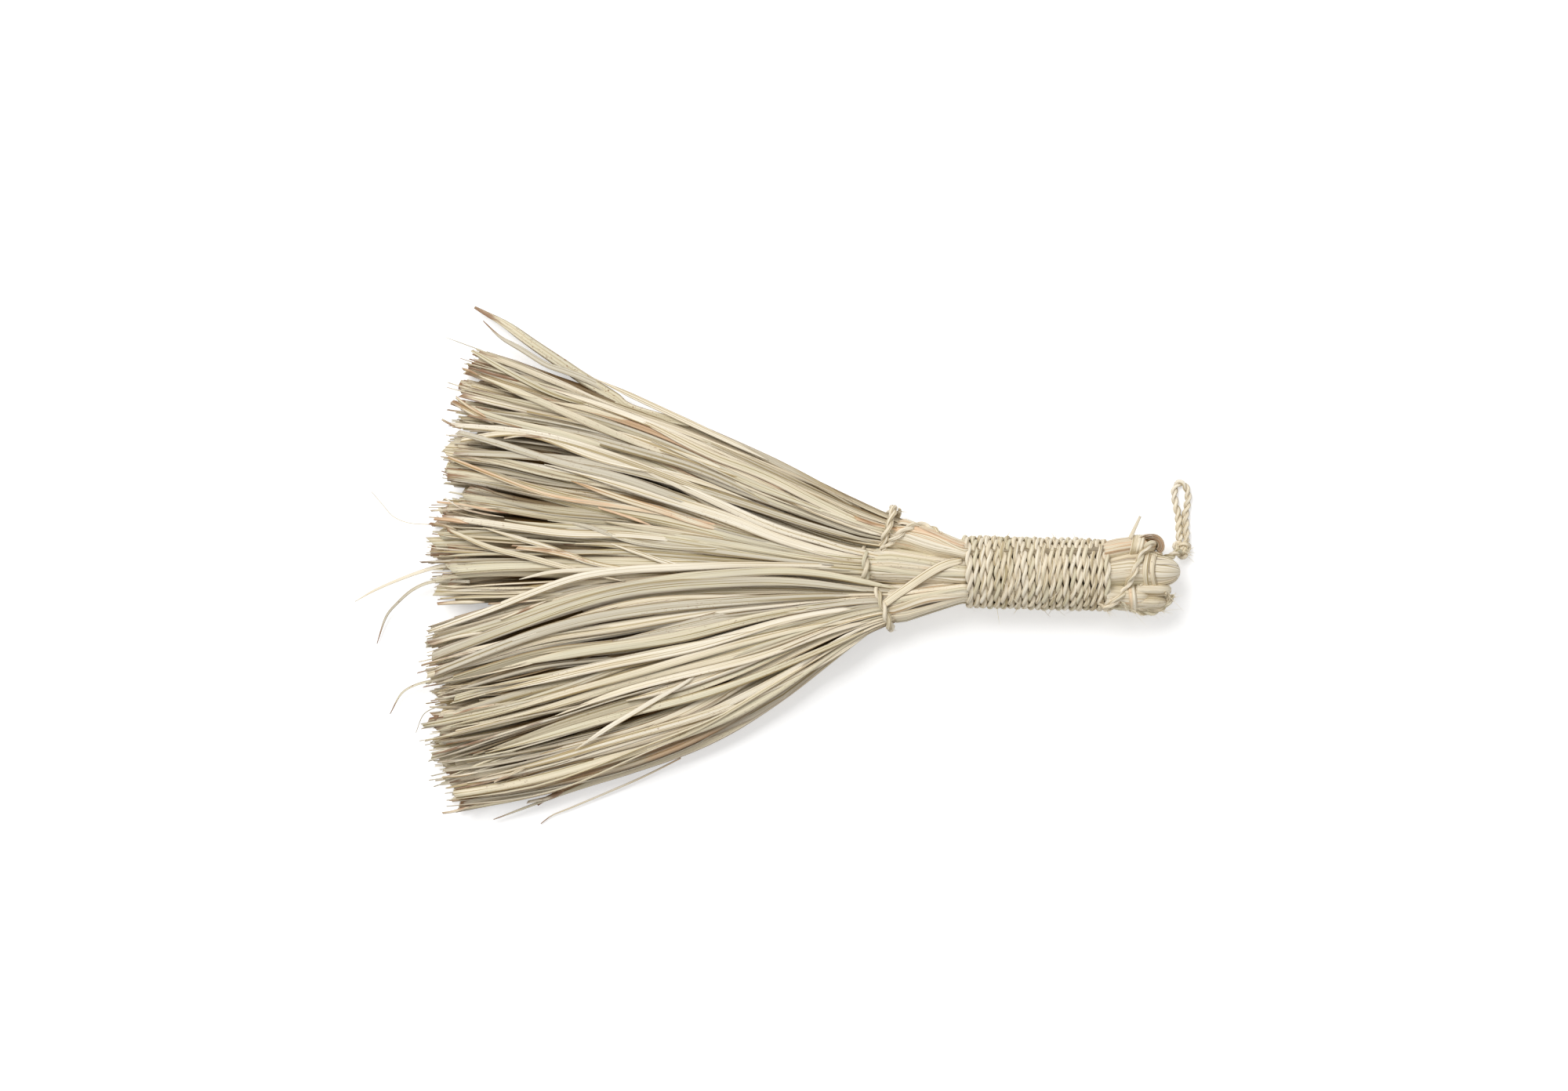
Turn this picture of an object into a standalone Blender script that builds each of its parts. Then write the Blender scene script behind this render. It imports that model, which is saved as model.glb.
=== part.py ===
"""Palm-leaf hand broom, lying flat: three tied bundles of split leaf, bound into one handle.

+X runs from the cut tips to the butt, +Y is the side of the upper bundle, and Z = 0 is the table.
"""
import math
import random

import bmesh
import bpy
from mathutils import Vector

# Gaps
CLEARANCE = 0.0003
WELD_share = 0.01

# Handle
GRIP_RADIUS = 0.0195
BINDING_START_X = 0.1040
HANDLE_Y = -0.0027
HANDLE_LEAN_share = -0.026

# Binding cord wound round the handle
BINDING_CORD = 0.0031
BINDING_PITCH = 0.00365
BINDING_TURNS = 21
BINDING_LOOP_POINTS = 16
BINDING_FLAT_share = 0.1

# Widths of the three stems inside the binding, as shares of the core's radius
STEM_EDGE_share = 0.93
UPPER_SPLIT_share = 0.35
LOWER_SPLIT_share = -0.35
STEM_STEPS = 4

# Necks, where each bundle is tied
NECK_HEIGHT = 0.0170
NECK_SLICE = 0.0200
NECK_ROUND_share = 0.85
NECK_LENGTH = 0.0513
UPPER_NECK_share = 0.7622
LOWER_NECK_share = 0.8187
UPPER_NECK_Y = 0.0237
MIDDLE_NECK_Y = 0.0036
LOWER_NECK_Y = -0.0189
UPPER_NECK_WIDTH = 0.0156
MIDDLE_NECK_WIDTH = 0.0132
LOWER_NECK_WIDTH = 0.0180

# Ties round the necks
TIE_CORD = 0.0034
TIE_GAP_share = 1.5
TIE_PITCH = 0.0041
TIE_TURNS = 1.15
TIE_LOOP_POINTS = 24
UPPER_TIE_LEAN_share = 0.40
MIDDLE_TIE_LEAN_share = 0.06
LOWER_TIE_LEAN_share = -0.30

# Head: the fan of split leaf
HEAD_START = 0.0520
HEAD_LENGTH = 0.2300
HEAD_WIDTH = 0.2500
HEAD_HEIGHT = 0.0240
HEAD_ROUND_share = 0.30
LEAF_ROWS = 4
UPPER_COLUMNS, UPPER_SECTORS = 8, 3
MIDDLE_COLUMNS, MIDDLE_SECTORS = 15, 5
LOWER_COLUMNS, LOWER_SECTORS = 15, 5
STRAND_FILL_shares = (1.0, 0.88, 0.80, 0.74)
TIP_JITTER_share = 0.09
TIP_SEED = 7

# Each station along the fan: its upper edge (along, across), its lower edge (along, across),
# and the underside and top, as shares of the head's length, width and height
UPPER_STATIONS_share = (
    ((0.459, 0.334), (0.459, 0.182), 0.0, 1.02),
    ((0.915, 0.477), (0.985, 0.319), 0.0, 0.90),
)
MIDDLE_STATIONS_share = (
    ((0.459, 0.172), (0.459, 0.006), 0.0, 1.06),
    ((0.988, 0.303), (1.003, -0.066), 0.0, 1.00),
)
LOWER_STATIONS_share = (
    ((0.295, -0.014), (0.258, -0.324), 0.17, 1.12),
    ((0.642, -0.036), (0.669, -0.476), 0.0, 1.02),
    ((1.011, -0.119), (0.979, -0.511), 0.0, 0.95),
)

# Long leaf blades that lie along the outside of the fan
BLADE_WIDTH = 0.0046
BLADE_THICKNESS = 0.0011
BLADE_TIP_share = 0.25
FIBRE_WIDTH = 0.0010
FIBRE_THICKNESS = 0.0006
FIBRE_TIP_share = 0.6
AHEAD_share = 0.05

# Each blade: its bundle, the edge it lies on, its height in the fan from -1 to 1, the layers it
# follows, and its free places (along, across, up) as shares of the head
BLADES_share = {
    "upper_outer_blade_1": ("upper", 1, -0.1, (0.5, 0.75, 1.0),
                            ((0.700, 0.466, 0.42), (0.906, 0.565, 0.16))),
    "upper_outer_blade_2": ("upper", 1, 0.45, (0.6, 0.8, 1.0),
                            ((0.700, 0.448, 0.60), (0.886, 0.533, 0.36))),
    "lower_outer_blade_1": ("lower", -1, 0.0, (1.0, 1.3, 1.6, 2.0), ((0.764, -0.508, 0.20),)),
    "lower_outer_blade_2": ("lower", -1, 0.55, (1.5, 1.75, 2.0, 2.3), ((0.860, -0.530, 0.30),)),
    "lower_outer_fibre": ("lower", -1, -0.6, (1.15, 1.3, 1.45),
                          ((0.600, -0.482, 0.10), (0.751, -0.541, 0.05))),
}

# Each stray fibre: its bundle, its place across it from -1 to 1, the row of strands it lies on,
# and its free places past the tips
WISP_START_share, WISP_STOP_share = 0.25, -0.03
WISPS_share = {
    "upper_wisp": ("upper", 0.85, 2, ((0.974, 0.500, 0.35),)),
    "middle_wisp_1": ("middle", 0.02, 2, ((1.075, 0.098, 0.25), (1.153, 0.173, 0.06))),
    "middle_wisp_2": ("middle", -0.42, 1, ((1.108, -0.030, 0.20), (1.189, -0.064, 0.05))),
    "middle_wisp_3": ("middle", -0.62, 2, ((1.080, -0.068, 0.30), (1.135, -0.150, 0.05))),
    "lower_wisp_1": ("lower", 0.42, 2, ((1.080, -0.262, 0.30), (1.107, -0.307, 0.08))),
    "lower_wisp_2": ("lower", 0.10, 1, ((1.047, -0.346, 0.15),)),
}

# Butt: the stems flare out past the binding, and their leaf ends are folded back
BUTT_FLARE = 0.0082
UPPER_BUTT_LENGTH = 0.0170
MIDDLE_BUTT_LENGTH = 0.0245
LOWER_BUTT_LENGTH = 0.0170
BUTT_WIDTH = 0.0383
UPPER_BUTT_share = (0.325, 0.530)
MIDDLE_BUTT_share = (-0.131, 0.280)
LOWER_BUTT_share = (-0.460, -0.175)
BUTT_HEIGHT_shares = (0.50, 0.64, 0.54)

# Leaf bands round the folded ends
BAND_THICKNESS = 0.0006
BAND_CLEARANCE = 0.0004
UPPER_BAND_X = 0.0086
UPPER_BAND_WIDTH = 0.0030
LOWER_BAND_X = 0.0100
LOWER_BAND_WIDTH = 0.0042
MIDDLE_BAND_X = 0.0174
MIDDLE_BAND_WIDTH = 0.0030
MIDDLE_BAND_SPACING = 0.0036

# Folded leaf ends
FOLD_STEPS = 8
FOLD_RIM_share = 0.10
FOLD_EDGE_share = 0.88
MIDDLE_FOLD_LENGTH = 0.0128
MIDDLE_FOLD_share = (-0.125, 0.200)
LOWER_FOLD_1_LENGTH = 0.0150
LOWER_FOLD_1_share = (-0.285, -0.167)
LOWER_FOLD_2_LENGTH = 0.0118
LOWER_FOLD_2_share = (-0.445, -0.297)
FOLD_HEIGHT_share = 0.95
CURL_THICKNESS = 0.0011
CURL_HEIGHT = 0.0130
CURL_RUN = 0.0072
CURL_INNER_share = 0.45

# Straps and cords on the neck and the butt. Cord routes are in cord diameters along X, and in
# shares of the neck, the butt or the loop across and up
STRAP_WIDTH = 0.0048
STRAP_THICKNESS = 0.0008
STRAP_STEPS = 9
STRAP_START_share, STRAP_STOP_share = 0.2, 0.45
LINK_CORD = 0.0028
LINK_ROUTE_share = ((0.8, -0.55), (1.9, 0.0), (3.2, 0.45), (5.2, 0.42))
BUTT_CORD = 0.0030
LASHING_SIDE_share = ((0.10, -1.2, -1), (0.16, -1.2, 0), (0.21, -0.6, 1))
LASHING_TOP_share = ((0.27, 0.72), (0.38, 0.28), (0.50, -0.22), (0.62, -0.72))
LASHING_CORNER_share = 0.6
EDGE_CORD_FOLD_share = 0.75
EDGE_CORD_TURN_share = (0.8, 1.0, 2.6)

# Hanging loop
LOOP_CORD = 0.0034
KNOT_RADIUS = 0.0043
KNOT_OUT = 0.0407
KNOT_SIDE = 0.0147
LOOP_LENGTH = 0.0359
EYE_WIDTH = 0.0074
LEG_SPACING = 0.0045
LOOP_LIFT = 0.0001
LOOP_STEP_share = 0.66
LOOP_LEAN_share = 0.04
KNOT_LINK_share = (-0.62, -0.10, 0.78)
LOOP_START_share = (1.05, 1.00, 0.25)
# The loop's half route: along it, from the legs' spacing (0) to the eye's width (1), and its lift
LOOP_LEGS_share = ((0.22, 0.0, 0.35), (0.36, 0.0, 0.0), (0.52, 0.0, 0.0), (0.66, 0.55, 0.0))
# Round the eye: along the loop, and its half width as a share of the eye's
LOOP_EYE_share = ((0.80, 1.0), (0.90, 0.92), (0.975, 0.55))

# Values that follow from the sizes above
CORD_RADIUS = BINDING_CORD / 2
HELIX_RADIUS = GRIP_RADIUS - CORD_RADIUS
FACET_share = math.cos(math.pi / 6)
AXIS_Z = HELIX_RADIUS + CORD_RADIUS * FACET_share - BINDING_CORD * BINDING_FLAT_share
CORE_RADIUS = HELIX_RADIUS * math.cos(math.pi / BINDING_LOOP_POINTS) - CORD_RADIUS - CLEARANCE
BINDING_END_X = BINDING_START_X + BINDING_PITCH * BINDING_TURNS + BINDING_CORD
HEAD_START_X = BINDING_START_X - HEAD_START

STRAW = (0.72, 0.66, 0.50)
GREEN_STRAW = (0.60, 0.58, 0.43)
GREY_STRAW = (0.66, 0.63, 0.52)
CORD_STRAW = (0.74, 0.69, 0.52)


def lerp(first, second, share):
    return first + (second - first) * share


def axis_y(x):
    """The handle leans a little across the picture, so its axis moves in Y along X."""
    return HANDLE_Y + HANDLE_LEAN_share * (x - BINDING_START_X)


def give_material(item, colour, roughness=0.75):
    material = bpy.data.materials.new(item.name)
    material.use_nodes = True
    shader = material.node_tree.nodes["Principled BSDF"]
    shader.inputs["Base Color"].default_value = (*colour, 1)
    shader.inputs["Roughness"].default_value = roughness
    shader.inputs["Metallic"].default_value = 0
    item.data.materials.append(material)


def mesh_object(name, bm, colour, smooth=True):
    mesh = bpy.data.meshes.new(name)
    bm.to_mesh(mesh)
    bm.free()
    if smooth:
        mesh.shade_smooth()
        mesh.set_sharp_from_angle(angle=math.radians(40))
    item = bpy.data.objects.new(name, mesh)
    bpy.context.collection.objects.link(item)
    give_material(item, colour)
    return item


def loft(name, rings, colour):
    """A solid swept through rings of points, each ring with as many points as the first."""
    bm = bmesh.new()
    base = bm.faces.new([bm.verts.new(point) for point in rings[0]])
    grown = bmesh.ops.extrude_face_region(bm, geom=[base])["geom"]
    cap = next(part for part in grown if isinstance(part, bmesh.types.BMFace))
    for index, (before, after) in enumerate(zip(rings, rings[1:])):
        if index:
            cap = bmesh.ops.extrude_discrete_faces(bm, faces=[cap])["faces"][0]
        places = {Vector(point).to_tuple(7): target for point, target in zip(before, after)}
        for vert in cap.verts:
            vert.co = places[vert.co.to_tuple(7)]
    bmesh.ops.recalc_face_normals(bm, faces=bm.faces)
    return mesh_object(name, bm, colour)


def smooth_route(points, step, samples=24):
    """Even points on a smooth curve through a cord's own route points."""
    points = [Vector(point) for point in points]
    ends = [2 * points[0] - points[1], *points, 2 * points[-1] - points[-2]]
    fine = []
    for a, b, c, d in zip(ends, ends[1:], ends[2:], ends[3:]):
        for index in range(samples):
            t = index / samples
            fine.append(0.5 * ((2 * b) + (c - a) * t + (2 * a - 5 * b + 4 * c - d) * t ** 2
                               + (3 * b - a - 3 * c + d) * t ** 3))
    fine.append(points[-1])
    total = sum((b - a).length for a, b in zip(fine, fine[1:]))
    count = max(2, round(total / step))
    route = [fine[0]]
    travelled = 0.0
    for a, b in zip(fine, fine[1:]):
        piece = (b - a).length
        while len(route) < count and travelled + piece >= total * len(route) / count:
            share = (total * len(route) / count - travelled) / piece
            route.append(a.lerp(b, share))
        travelled += piece
    route.append(fine[-1])
    return route


def cord(name, points, diameter, colour, resolution=2):
    curve = bpy.data.curves.new(name, "CURVE")
    curve.dimensions = "3D"
    curve.resolution_u = 1
    curve.render_resolution_u = 0
    curve.bevel_depth = diameter / 2
    curve.bevel_resolution = resolution
    curve.use_fill_caps = True
    spline = curve.splines.new("POLY")
    spline.points.add(len(points) - 1)
    for target, point in zip(spline.points, points):
        target.co = (*point, 1)
        target.radius = 1
    spline.use_smooth = True
    item = bpy.data.objects.new(name, curve)
    bpy.context.collection.objects.link(item)
    give_material(item, colour)
    return item


def with_straight_ends(points, run):
    """The coil's points with a straight stretch of the given length at each end."""
    first = (points[0] - points[1]).normalized() * run
    last = (points[-1] - points[-2]).normalized() * run
    return [points[0] + first, *points, points[-1] + last]


def print_least_gap(name, points, diameter, loop_points):
    """Prints the least gap between points of a coil that lie more than half a turn apart."""
    apart = loop_points // 2
    least = min((a - b).length for index, a in enumerate(points) for b in points[index + apart:])
    print(f"{name}: least gap to itself {(least - diameter) * 1000:.2f} mm")


# Bundle sections


class Section:
    """A cut through a stem square to X: its side edges, its middle height and its half heights."""

    def __init__(self, x, low, high, heights):
        self.x, self.low, self.high, self.heights = x, low, high, heights

    def ring(self, grow=0.0):
        """Points round the cut, over the top and back underneath, grown outwards by a distance."""
        sides = [lerp(self.low - grow, self.high + grow, step / STEM_STEPS)
                 for step in range(STEM_STEPS + 1)]
        top = [(self.x, y, AXIS_Z + half + grow) for y, half in zip(sides, self.heights)]
        under = [(self.x, y, AXIS_Z - half - grow) for y, half in zip(sides, self.heights)]
        return top + under[::-1]

    def height_at(self, y):
        place = (y - self.low) / (self.high - self.low) * STEM_STEPS
        step = min(max(int(place), 0), STEM_STEPS - 1)
        return lerp(self.heights[step], self.heights[step + 1], place - step)


def between(first, second, x):
    share = (x - first.x) / (second.x - first.x)
    heights = [lerp(a, b, share) for a, b in zip(first.heights, second.heights)]
    return Section(x, lerp(first.low, second.low, share), lerp(first.high, second.high, share), heights)


def oval_heights(half_height, round_share=NECK_ROUND_share):
    sides = [lerp(-1, 1, step / STEM_STEPS) for step in range(STEM_STEPS + 1)]
    return [half_height * math.sqrt(1 - round_share * side ** 2) for side in sides]


def core_section(x, low_share, high_share):
    """The stem's slab of the round core, inside the binding."""
    low, high = CORE_RADIUS * low_share, CORE_RADIUS * high_share
    sides = [lerp(low, high, step / STEM_STEPS) for step in range(STEM_STEPS + 1)]
    heights = [math.sqrt(CORE_RADIUS ** 2 - side ** 2) for side in sides]
    return Section(x, axis_y(x) + low, axis_y(x) + high, heights)


def butt_section(x, shares, height_share):
    low, high = (axis_y(x) + BUTT_WIDTH * share for share in shares)
    return Section(x, low, high, oval_heights(GRIP_RADIUS * height_share))


class Bundle:
    """One tied bundle: its neck, the stem behind it and the fan of strands in front."""

    def __init__(self, name, neck_length, neck_y, neck_width, lean, columns, sectors, stations):
        self.name = name
        self.tie_x = BINDING_START_X - neck_length
        self.neck_y = HANDLE_Y + neck_y
        self.half_width = neck_width / 2
        self.lean = lean
        self.columns, self.sectors, self.stations = columns, sectors, stations
        self.back_x = self.tie_x + NECK_SLICE / 2
        self.front_x = self.tie_x - NECK_SLICE / 2
        self.stem = []

    def neck_section(self, x):
        low, high = self.neck_y - self.half_width, self.neck_y + self.half_width
        return Section(x, low, high, oval_heights(NECK_HEIGHT / 2))

    def stem_at(self, x):
        for first, second in zip(self.stem, self.stem[1:]):
            if first.x <= x <= second.x:
                return between(first, second, x)
        return None

    def neck_place(self, across, up, x):
        half = NECK_HEIGHT / 2 * math.sqrt(1 - NECK_ROUND_share * across ** 2)
        return Vector((x, self.neck_y + self.half_width * across, AXIS_Z + half * up))

    def fan_place(self, across, up, station):
        (top_along, top_across), (low_along, low_across), under, over = self.stations[station]
        share = (across + 1) / 2
        x = HEAD_START_X - HEAD_LENGTH * lerp(low_along, top_along, share)
        y = HANDLE_Y + HEAD_WIDTH * lerp(low_across, top_across, share)
        height = HEAD_HEIGHT * (over - under) * math.sqrt(1 - HEAD_ROUND_share * across ** 2)
        return Vector((x, y, HEAD_HEIGHT * under + height * (up + 1) / 2))

    def place(self, across, up, layer):
        """A point of the bundle: across and up run from -1 to 1, and layer from the neck's back
        face at -1, past the roots of the strands at 0, to one at each station of the fan."""
        if layer < 0:
            return self.neck_place(across, up, lerp(self.front_x, self.back_x, -layer))
        last = len(self.stations)
        step = min(int(layer), last - 1)
        if step == 0:
            before = self.neck_place(across, up, self.front_x)
        else:
            before = self.fan_place(across, up, step - 1)
        return before.lerp(self.fan_place(across, up, step), layer - step)

    def fan_edge(self, side, up, layer, out):
        """A point beside the fan's edge, a distance out from it."""
        here = self.place(side, up, layer)
        ahead = self.place(side, up, layer + AHEAD_share)
        normal = (ahead - here).cross(Vector((0, 0, 1))).normalized()
        if normal.y * side < 0:
            normal.negate()
        return here + normal * out


UPPER = Bundle("upper", NECK_LENGTH * UPPER_NECK_share, UPPER_NECK_Y, UPPER_NECK_WIDTH, UPPER_TIE_LEAN_share,
               UPPER_COLUMNS, UPPER_SECTORS, UPPER_STATIONS_share)
MIDDLE = Bundle("middle", NECK_LENGTH, MIDDLE_NECK_Y, MIDDLE_NECK_WIDTH, MIDDLE_TIE_LEAN_share,
                MIDDLE_COLUMNS, MIDDLE_SECTORS, MIDDLE_STATIONS_share)
LOWER = Bundle("lower", NECK_LENGTH * LOWER_NECK_share, LOWER_NECK_Y, LOWER_NECK_WIDTH, LOWER_TIE_LEAN_share,
               LOWER_COLUMNS, LOWER_SECTORS, LOWER_STATIONS_share)
BUNDLES = {"upper": UPPER, "middle": MIDDLE, "lower": LOWER}


# Fan of strands


def build_sector(bundle, number, first, last):
    """Some columns of one bundle: a slice of the tied neck, drawn out into three-sided strands."""
    bm = bmesh.new()
    bmesh.ops.create_grid(bm, x_segments=last - first, y_segments=LEAF_ROWS, size=1)
    gap = CLEARANCE / 2 / bundle.half_width
    start = lerp(-1, 1, first / bundle.columns) + (gap if first > 0 else 0)
    stop = lerp(-1, 1, last / bundle.columns) - (gap if last < bundle.columns else 0)
    for vert in bm.verts:
        vert.co.x = lerp(start, stop, (vert.co.x + 1) / 2)
    bmesh.ops.triangulate(bm, faces=bm.faces[:], quad_method="FIXED")
    grown = bmesh.ops.extrude_face_region(bm, geom=bm.faces[:])["geom"]
    backs = {part for part in grown if isinstance(part, bmesh.types.BMVert)}
    for vert in backs:
        vert.co.z = -1
    bmesh.ops.recalc_face_normals(bm, faces=bm.faces)
    fronts = [face for face in bm.faces if not any(vert in backs for vert in face.verts)]
    for layer in range(1, len(bundle.stations) + 1):
        ratio = STRAND_FILL_shares[layer] / STRAND_FILL_shares[layer - 1]
        fronts = bmesh.ops.extrude_discrete_faces(bm, faces=fronts)["faces"]
        for face in fronts:
            middle = sum(vert.co.x for vert in face.verts) / 3
            bottom = min(vert.co.y for vert in face.verts)
            for vert in face.verts:
                vert.co.x = lerp(middle, vert.co.x, ratio)
                vert.co.y = lerp(bottom, vert.co.y, ratio)
                vert.co.z = layer
    chance = random.Random(TIP_SEED * bundle.columns + first)
    for face in sorted(fronts, key=lambda face: face.calc_center_median().to_tuple(4)):
        cut = chance.uniform(-TIP_JITTER_share, 0)
        for vert in face.verts:
            vert.co.z += cut
    for vert in bm.verts:
        vert.co = bundle.place(*vert.co)
    bmesh.ops.reverse_faces(bm, faces=bm.faces)
    colour = (STRAW, GREEN_STRAW, GREY_STRAW)[number % 3]
    mesh_object(f"{bundle.name}_leaves_{number}", bm, colour, smooth=False)


def build_fan(bundle):
    cuts = [round(bundle.columns * index / bundle.sectors) for index in range(bundle.sectors + 1)]
    for number, (first, last) in enumerate(zip(cuts, cuts[1:]), 1):
        build_sector(bundle, number, first, last)


def build_strip(name, points, width, thickness, colour, tip_share=BLADE_TIP_share):
    """A thin leaf strip with a diamond cut, drawn along its points and narrowed at the tip."""
    points = [Vector(point) for point in points]
    rings = []
    for index, point in enumerate(points):
        ahead = points[min(index + 1, len(points) - 1)] - points[max(index - 1, 0)]
        side = Vector((0, 0, 1)).cross(ahead).normalized()
        lift = ahead.cross(side).normalized()
        share = lerp(1, tip_share, index / (len(points) - 1))
        across, up = side * width / 2 * share, lift * thickness / 2
        rings.append([point + across, point + up, point - across, point - up])
    loft(name, rings, colour)


def head_point(along_share, across_share, up_share):
    return Vector((HEAD_START_X - HEAD_LENGTH * along_share, HANDLE_Y + HEAD_WIDTH * across_share,
                   HEAD_HEIGHT * up_share))


def build_outer_blade(name, bundle, side, up, layers, tip):
    """A blade or a fibre that lies along one edge of the fan and then parts from it."""
    fibre = name.endswith("fibre")
    width, thickness = (FIBRE_WIDTH, FIBRE_THICKNESS) if fibre else (BLADE_WIDTH, BLADE_THICKNESS)
    points = [bundle.fan_edge(side, up, layer, width / 2 + CLEARANCE) for layer in layers]
    points += [head_point(*place) for place in tip]
    build_strip(name, points, width, thickness, GREY_STRAW if fibre else STRAW)


def build_wisp(name, bundle, across, row, places):
    """A stray fibre that lies in the gap above one row of strands and runs on past the tips."""
    last = len(bundle.stations)
    fill = STRAND_FILL_shares[last]
    up = lerp(-1, 1, (row + (1 + fill) / 2) / LEAF_ROWS)
    points = [bundle.place(across, up, last - start) for start in (WISP_START_share, WISP_STOP_share)]
    points += [head_point(*place) for place in places]
    build_strip(name, points, FIBRE_WIDTH, FIBRE_THICKNESS, GREY_STRAW, tip_share=FIBRE_TIP_share)


def build_strays():
    for name, (bundle, side, up, layers, tip) in BLADES_share.items():
        build_outer_blade(name, BUNDLES[bundle], side, up, layers, tip)
    for name, (bundle, across, row, places) in WISPS_share.items():
        build_wisp(name, BUNDLES[bundle], across, row, places)


# Stems and binding


def stem_sections(bundle, low_share, high_share, butt, butt_length, height_share):
    core_start = BINDING_START_X - BINDING_PITCH / 2
    core_stop = BINDING_END_X + BINDING_PITCH / 2
    half_gap = CLEARANCE / 2 / CORE_RADIUS
    low, high = low_share + half_gap, high_share - half_gap
    return [
        bundle.neck_section(bundle.back_x + CLEARANCE),
        core_section(core_start, low, high),
        core_section(core_stop, low, high),
        butt_section(BINDING_END_X + BUTT_FLARE, butt, height_share),
        butt_section(BINDING_END_X + butt_length, butt, height_share),
    ]


def build_stems():
    UPPER.stem = stem_sections(UPPER, UPPER_SPLIT_share, STEM_EDGE_share, UPPER_BUTT_share,
                               UPPER_BUTT_LENGTH, BUTT_HEIGHT_shares[0])
    MIDDLE.stem = stem_sections(MIDDLE, LOWER_SPLIT_share, UPPER_SPLIT_share, MIDDLE_BUTT_share,
                                MIDDLE_BUTT_LENGTH, BUTT_HEIGHT_shares[1])
    LOWER.stem = stem_sections(LOWER, -STEM_EDGE_share, LOWER_SPLIT_share, LOWER_BUTT_share,
                               LOWER_BUTT_LENGTH, BUTT_HEIGHT_shares[2])
    for bundle in BUNDLES.values():
        loft(f"{bundle.name}_stem", [section.ring() for section in bundle.stem], GREY_STRAW)


def build_binding():
    """The handle's cord: one helix round the core, cut flat where the handle lies on the table."""
    total = BINDING_TURNS * BINDING_LOOP_POINTS
    points = []
    for index in range(total + 1):
        angle = math.tau * index / BINDING_LOOP_POINTS - math.pi / 2
        x = BINDING_START_X + CORD_RADIUS + BINDING_PITCH * index / BINDING_LOOP_POINTS
        points.append(Vector((x, axis_y(x) + HELIX_RADIUS * math.cos(angle),
                              AXIS_Z + HELIX_RADIUS * math.sin(angle))))
    print_least_gap("handle_binding", points, BINDING_CORD, BINDING_LOOP_POINTS)
    points = with_straight_ends(points, BINDING_CORD)
    tube = cord("binding_tube", points, BINDING_CORD, CORD_STRAW, resolution=1)
    bm = bmesh.new()
    bm.from_mesh(tube.evaluated_get(bpy.context.evaluated_depsgraph_get()).to_mesh())
    bpy.data.objects.remove(tube)
    bmesh.ops.remove_doubles(bm, verts=bm.verts, dist=CLEARANCE * WELD_share)
    geometry = bm.verts[:] + bm.edges[:] + bm.faces[:]
    cut = bmesh.ops.bisect_plane(bm, geom=geometry, dist=CLEARANCE * WELD_share, plane_co=(0, 0, 0),
                                 plane_no=(0, 0, -1), clear_outer=True)["geom_cut"]
    rim = [part for part in cut if isinstance(part, bmesh.types.BMEdge)]
    bmesh.ops.holes_fill(bm, edges=rim, sides=0)
    bmesh.ops.recalc_face_normals(bm, faces=bm.faces)
    mesh_object("handle_binding", bm, CORD_STRAW)


def build_tie(bundle):
    """The cord round one neck: a little over one turn, its ends side by side underneath."""
    reach = math.sqrt(2 - NECK_ROUND_share)
    out = CLEARANCE * TIE_GAP_share + TIE_CORD / 2
    half_y, half_z = bundle.half_width * reach + out, NECK_HEIGHT / 2 * reach + out
    count = round(TIE_TURNS * TIE_LOOP_POINTS)
    points = []
    for index in range(count + 1):
        turn = index / TIE_LOOP_POINTS
        angle = math.tau * (turn - TIE_TURNS / 2) + math.pi / 2
        y = half_y * math.cos(angle)
        x = bundle.tie_x + bundle.lean * y + TIE_PITCH * (turn - TIE_TURNS / 2)
        points.append(Vector((x, bundle.neck_y + y, AXIS_Z + half_z * math.sin(angle))))
    print_least_gap(f"{bundle.name}_neck_tie", points, TIE_CORD, TIE_LOOP_POINTS)
    cord(f"{bundle.name}_neck_tie", with_straight_ends(points, TIE_CORD), TIE_CORD, CORD_STRAW)


def stem_top(x, y, default=AXIS_Z):
    """The height of the stems' upper surface at a place, or the default beside them."""
    tops = []
    for bundle in BUNDLES.values():
        section = bundle.stem_at(x)
        if section and section.low <= y <= section.high:
            tops.append(AXIS_Z + section.height_at(y))
    return max(tops, default=default)


def draped(points, width, thickness):
    """Points (x, y) laid over the stems, high enough for a piece of the given width."""
    laid = []
    for x, y in points:
        spots = [(x + width / 2 * i, y + width / 2 * j) for i in (-1, 0, 1) for j in (-1, 0, 1)]
        top = max(stem_top(*spot) for spot in spots)
        laid.append(Vector((x, y, top + thickness / 2 + CLEARANCE)))
    return laid


# Straps and cords on the neck


def build_neck_strap():
    """The flat leaf strap that crosses from the lower bundle's neck to the binding."""
    start = Vector((LOWER.back_x, LOWER.neck_y + LOWER.half_width * STRAP_START_share))
    stop_x = BINDING_START_X - STRAP_WIDTH / 2 - CLEARANCE
    stop = Vector((stop_x, axis_y(stop_x) + CORE_RADIUS * STRAP_STOP_share))
    flat = [start.lerp(stop, step / STRAP_STEPS) for step in range(1, STRAP_STEPS + 1)]
    laid = draped(flat, STRAP_WIDTH, STRAP_THICKNESS)
    direction = (stop - start).normalized()
    side = Vector((-direction.y, direction.x, 0)) * STRAP_WIDTH / 2
    lift = Vector((0, 0, STRAP_THICKNESS / 2))
    rings = [[point + side + lift, point - side + lift, point - side - lift, point + side - lift]
             for point in laid]
    loft("neck_cross_strap", rings, STRAW)


def build_neck_link():
    """The cord from the upper bundle's tie, over the top of its stem and down behind."""
    route = [(UPPER.back_x + LINK_CORD * along, UPPER.neck_y + UPPER.half_width * across)
             for along, across in LINK_ROUTE_share]
    fine = smooth_route([(x, y, 0) for x, y in route], LINK_CORD)
    laid = draped([point.to_2d() for point in fine], LINK_CORD, LINK_CORD)
    cord("neck_link_cord", laid, LINK_CORD, CORD_STRAW)


# Butt


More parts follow.
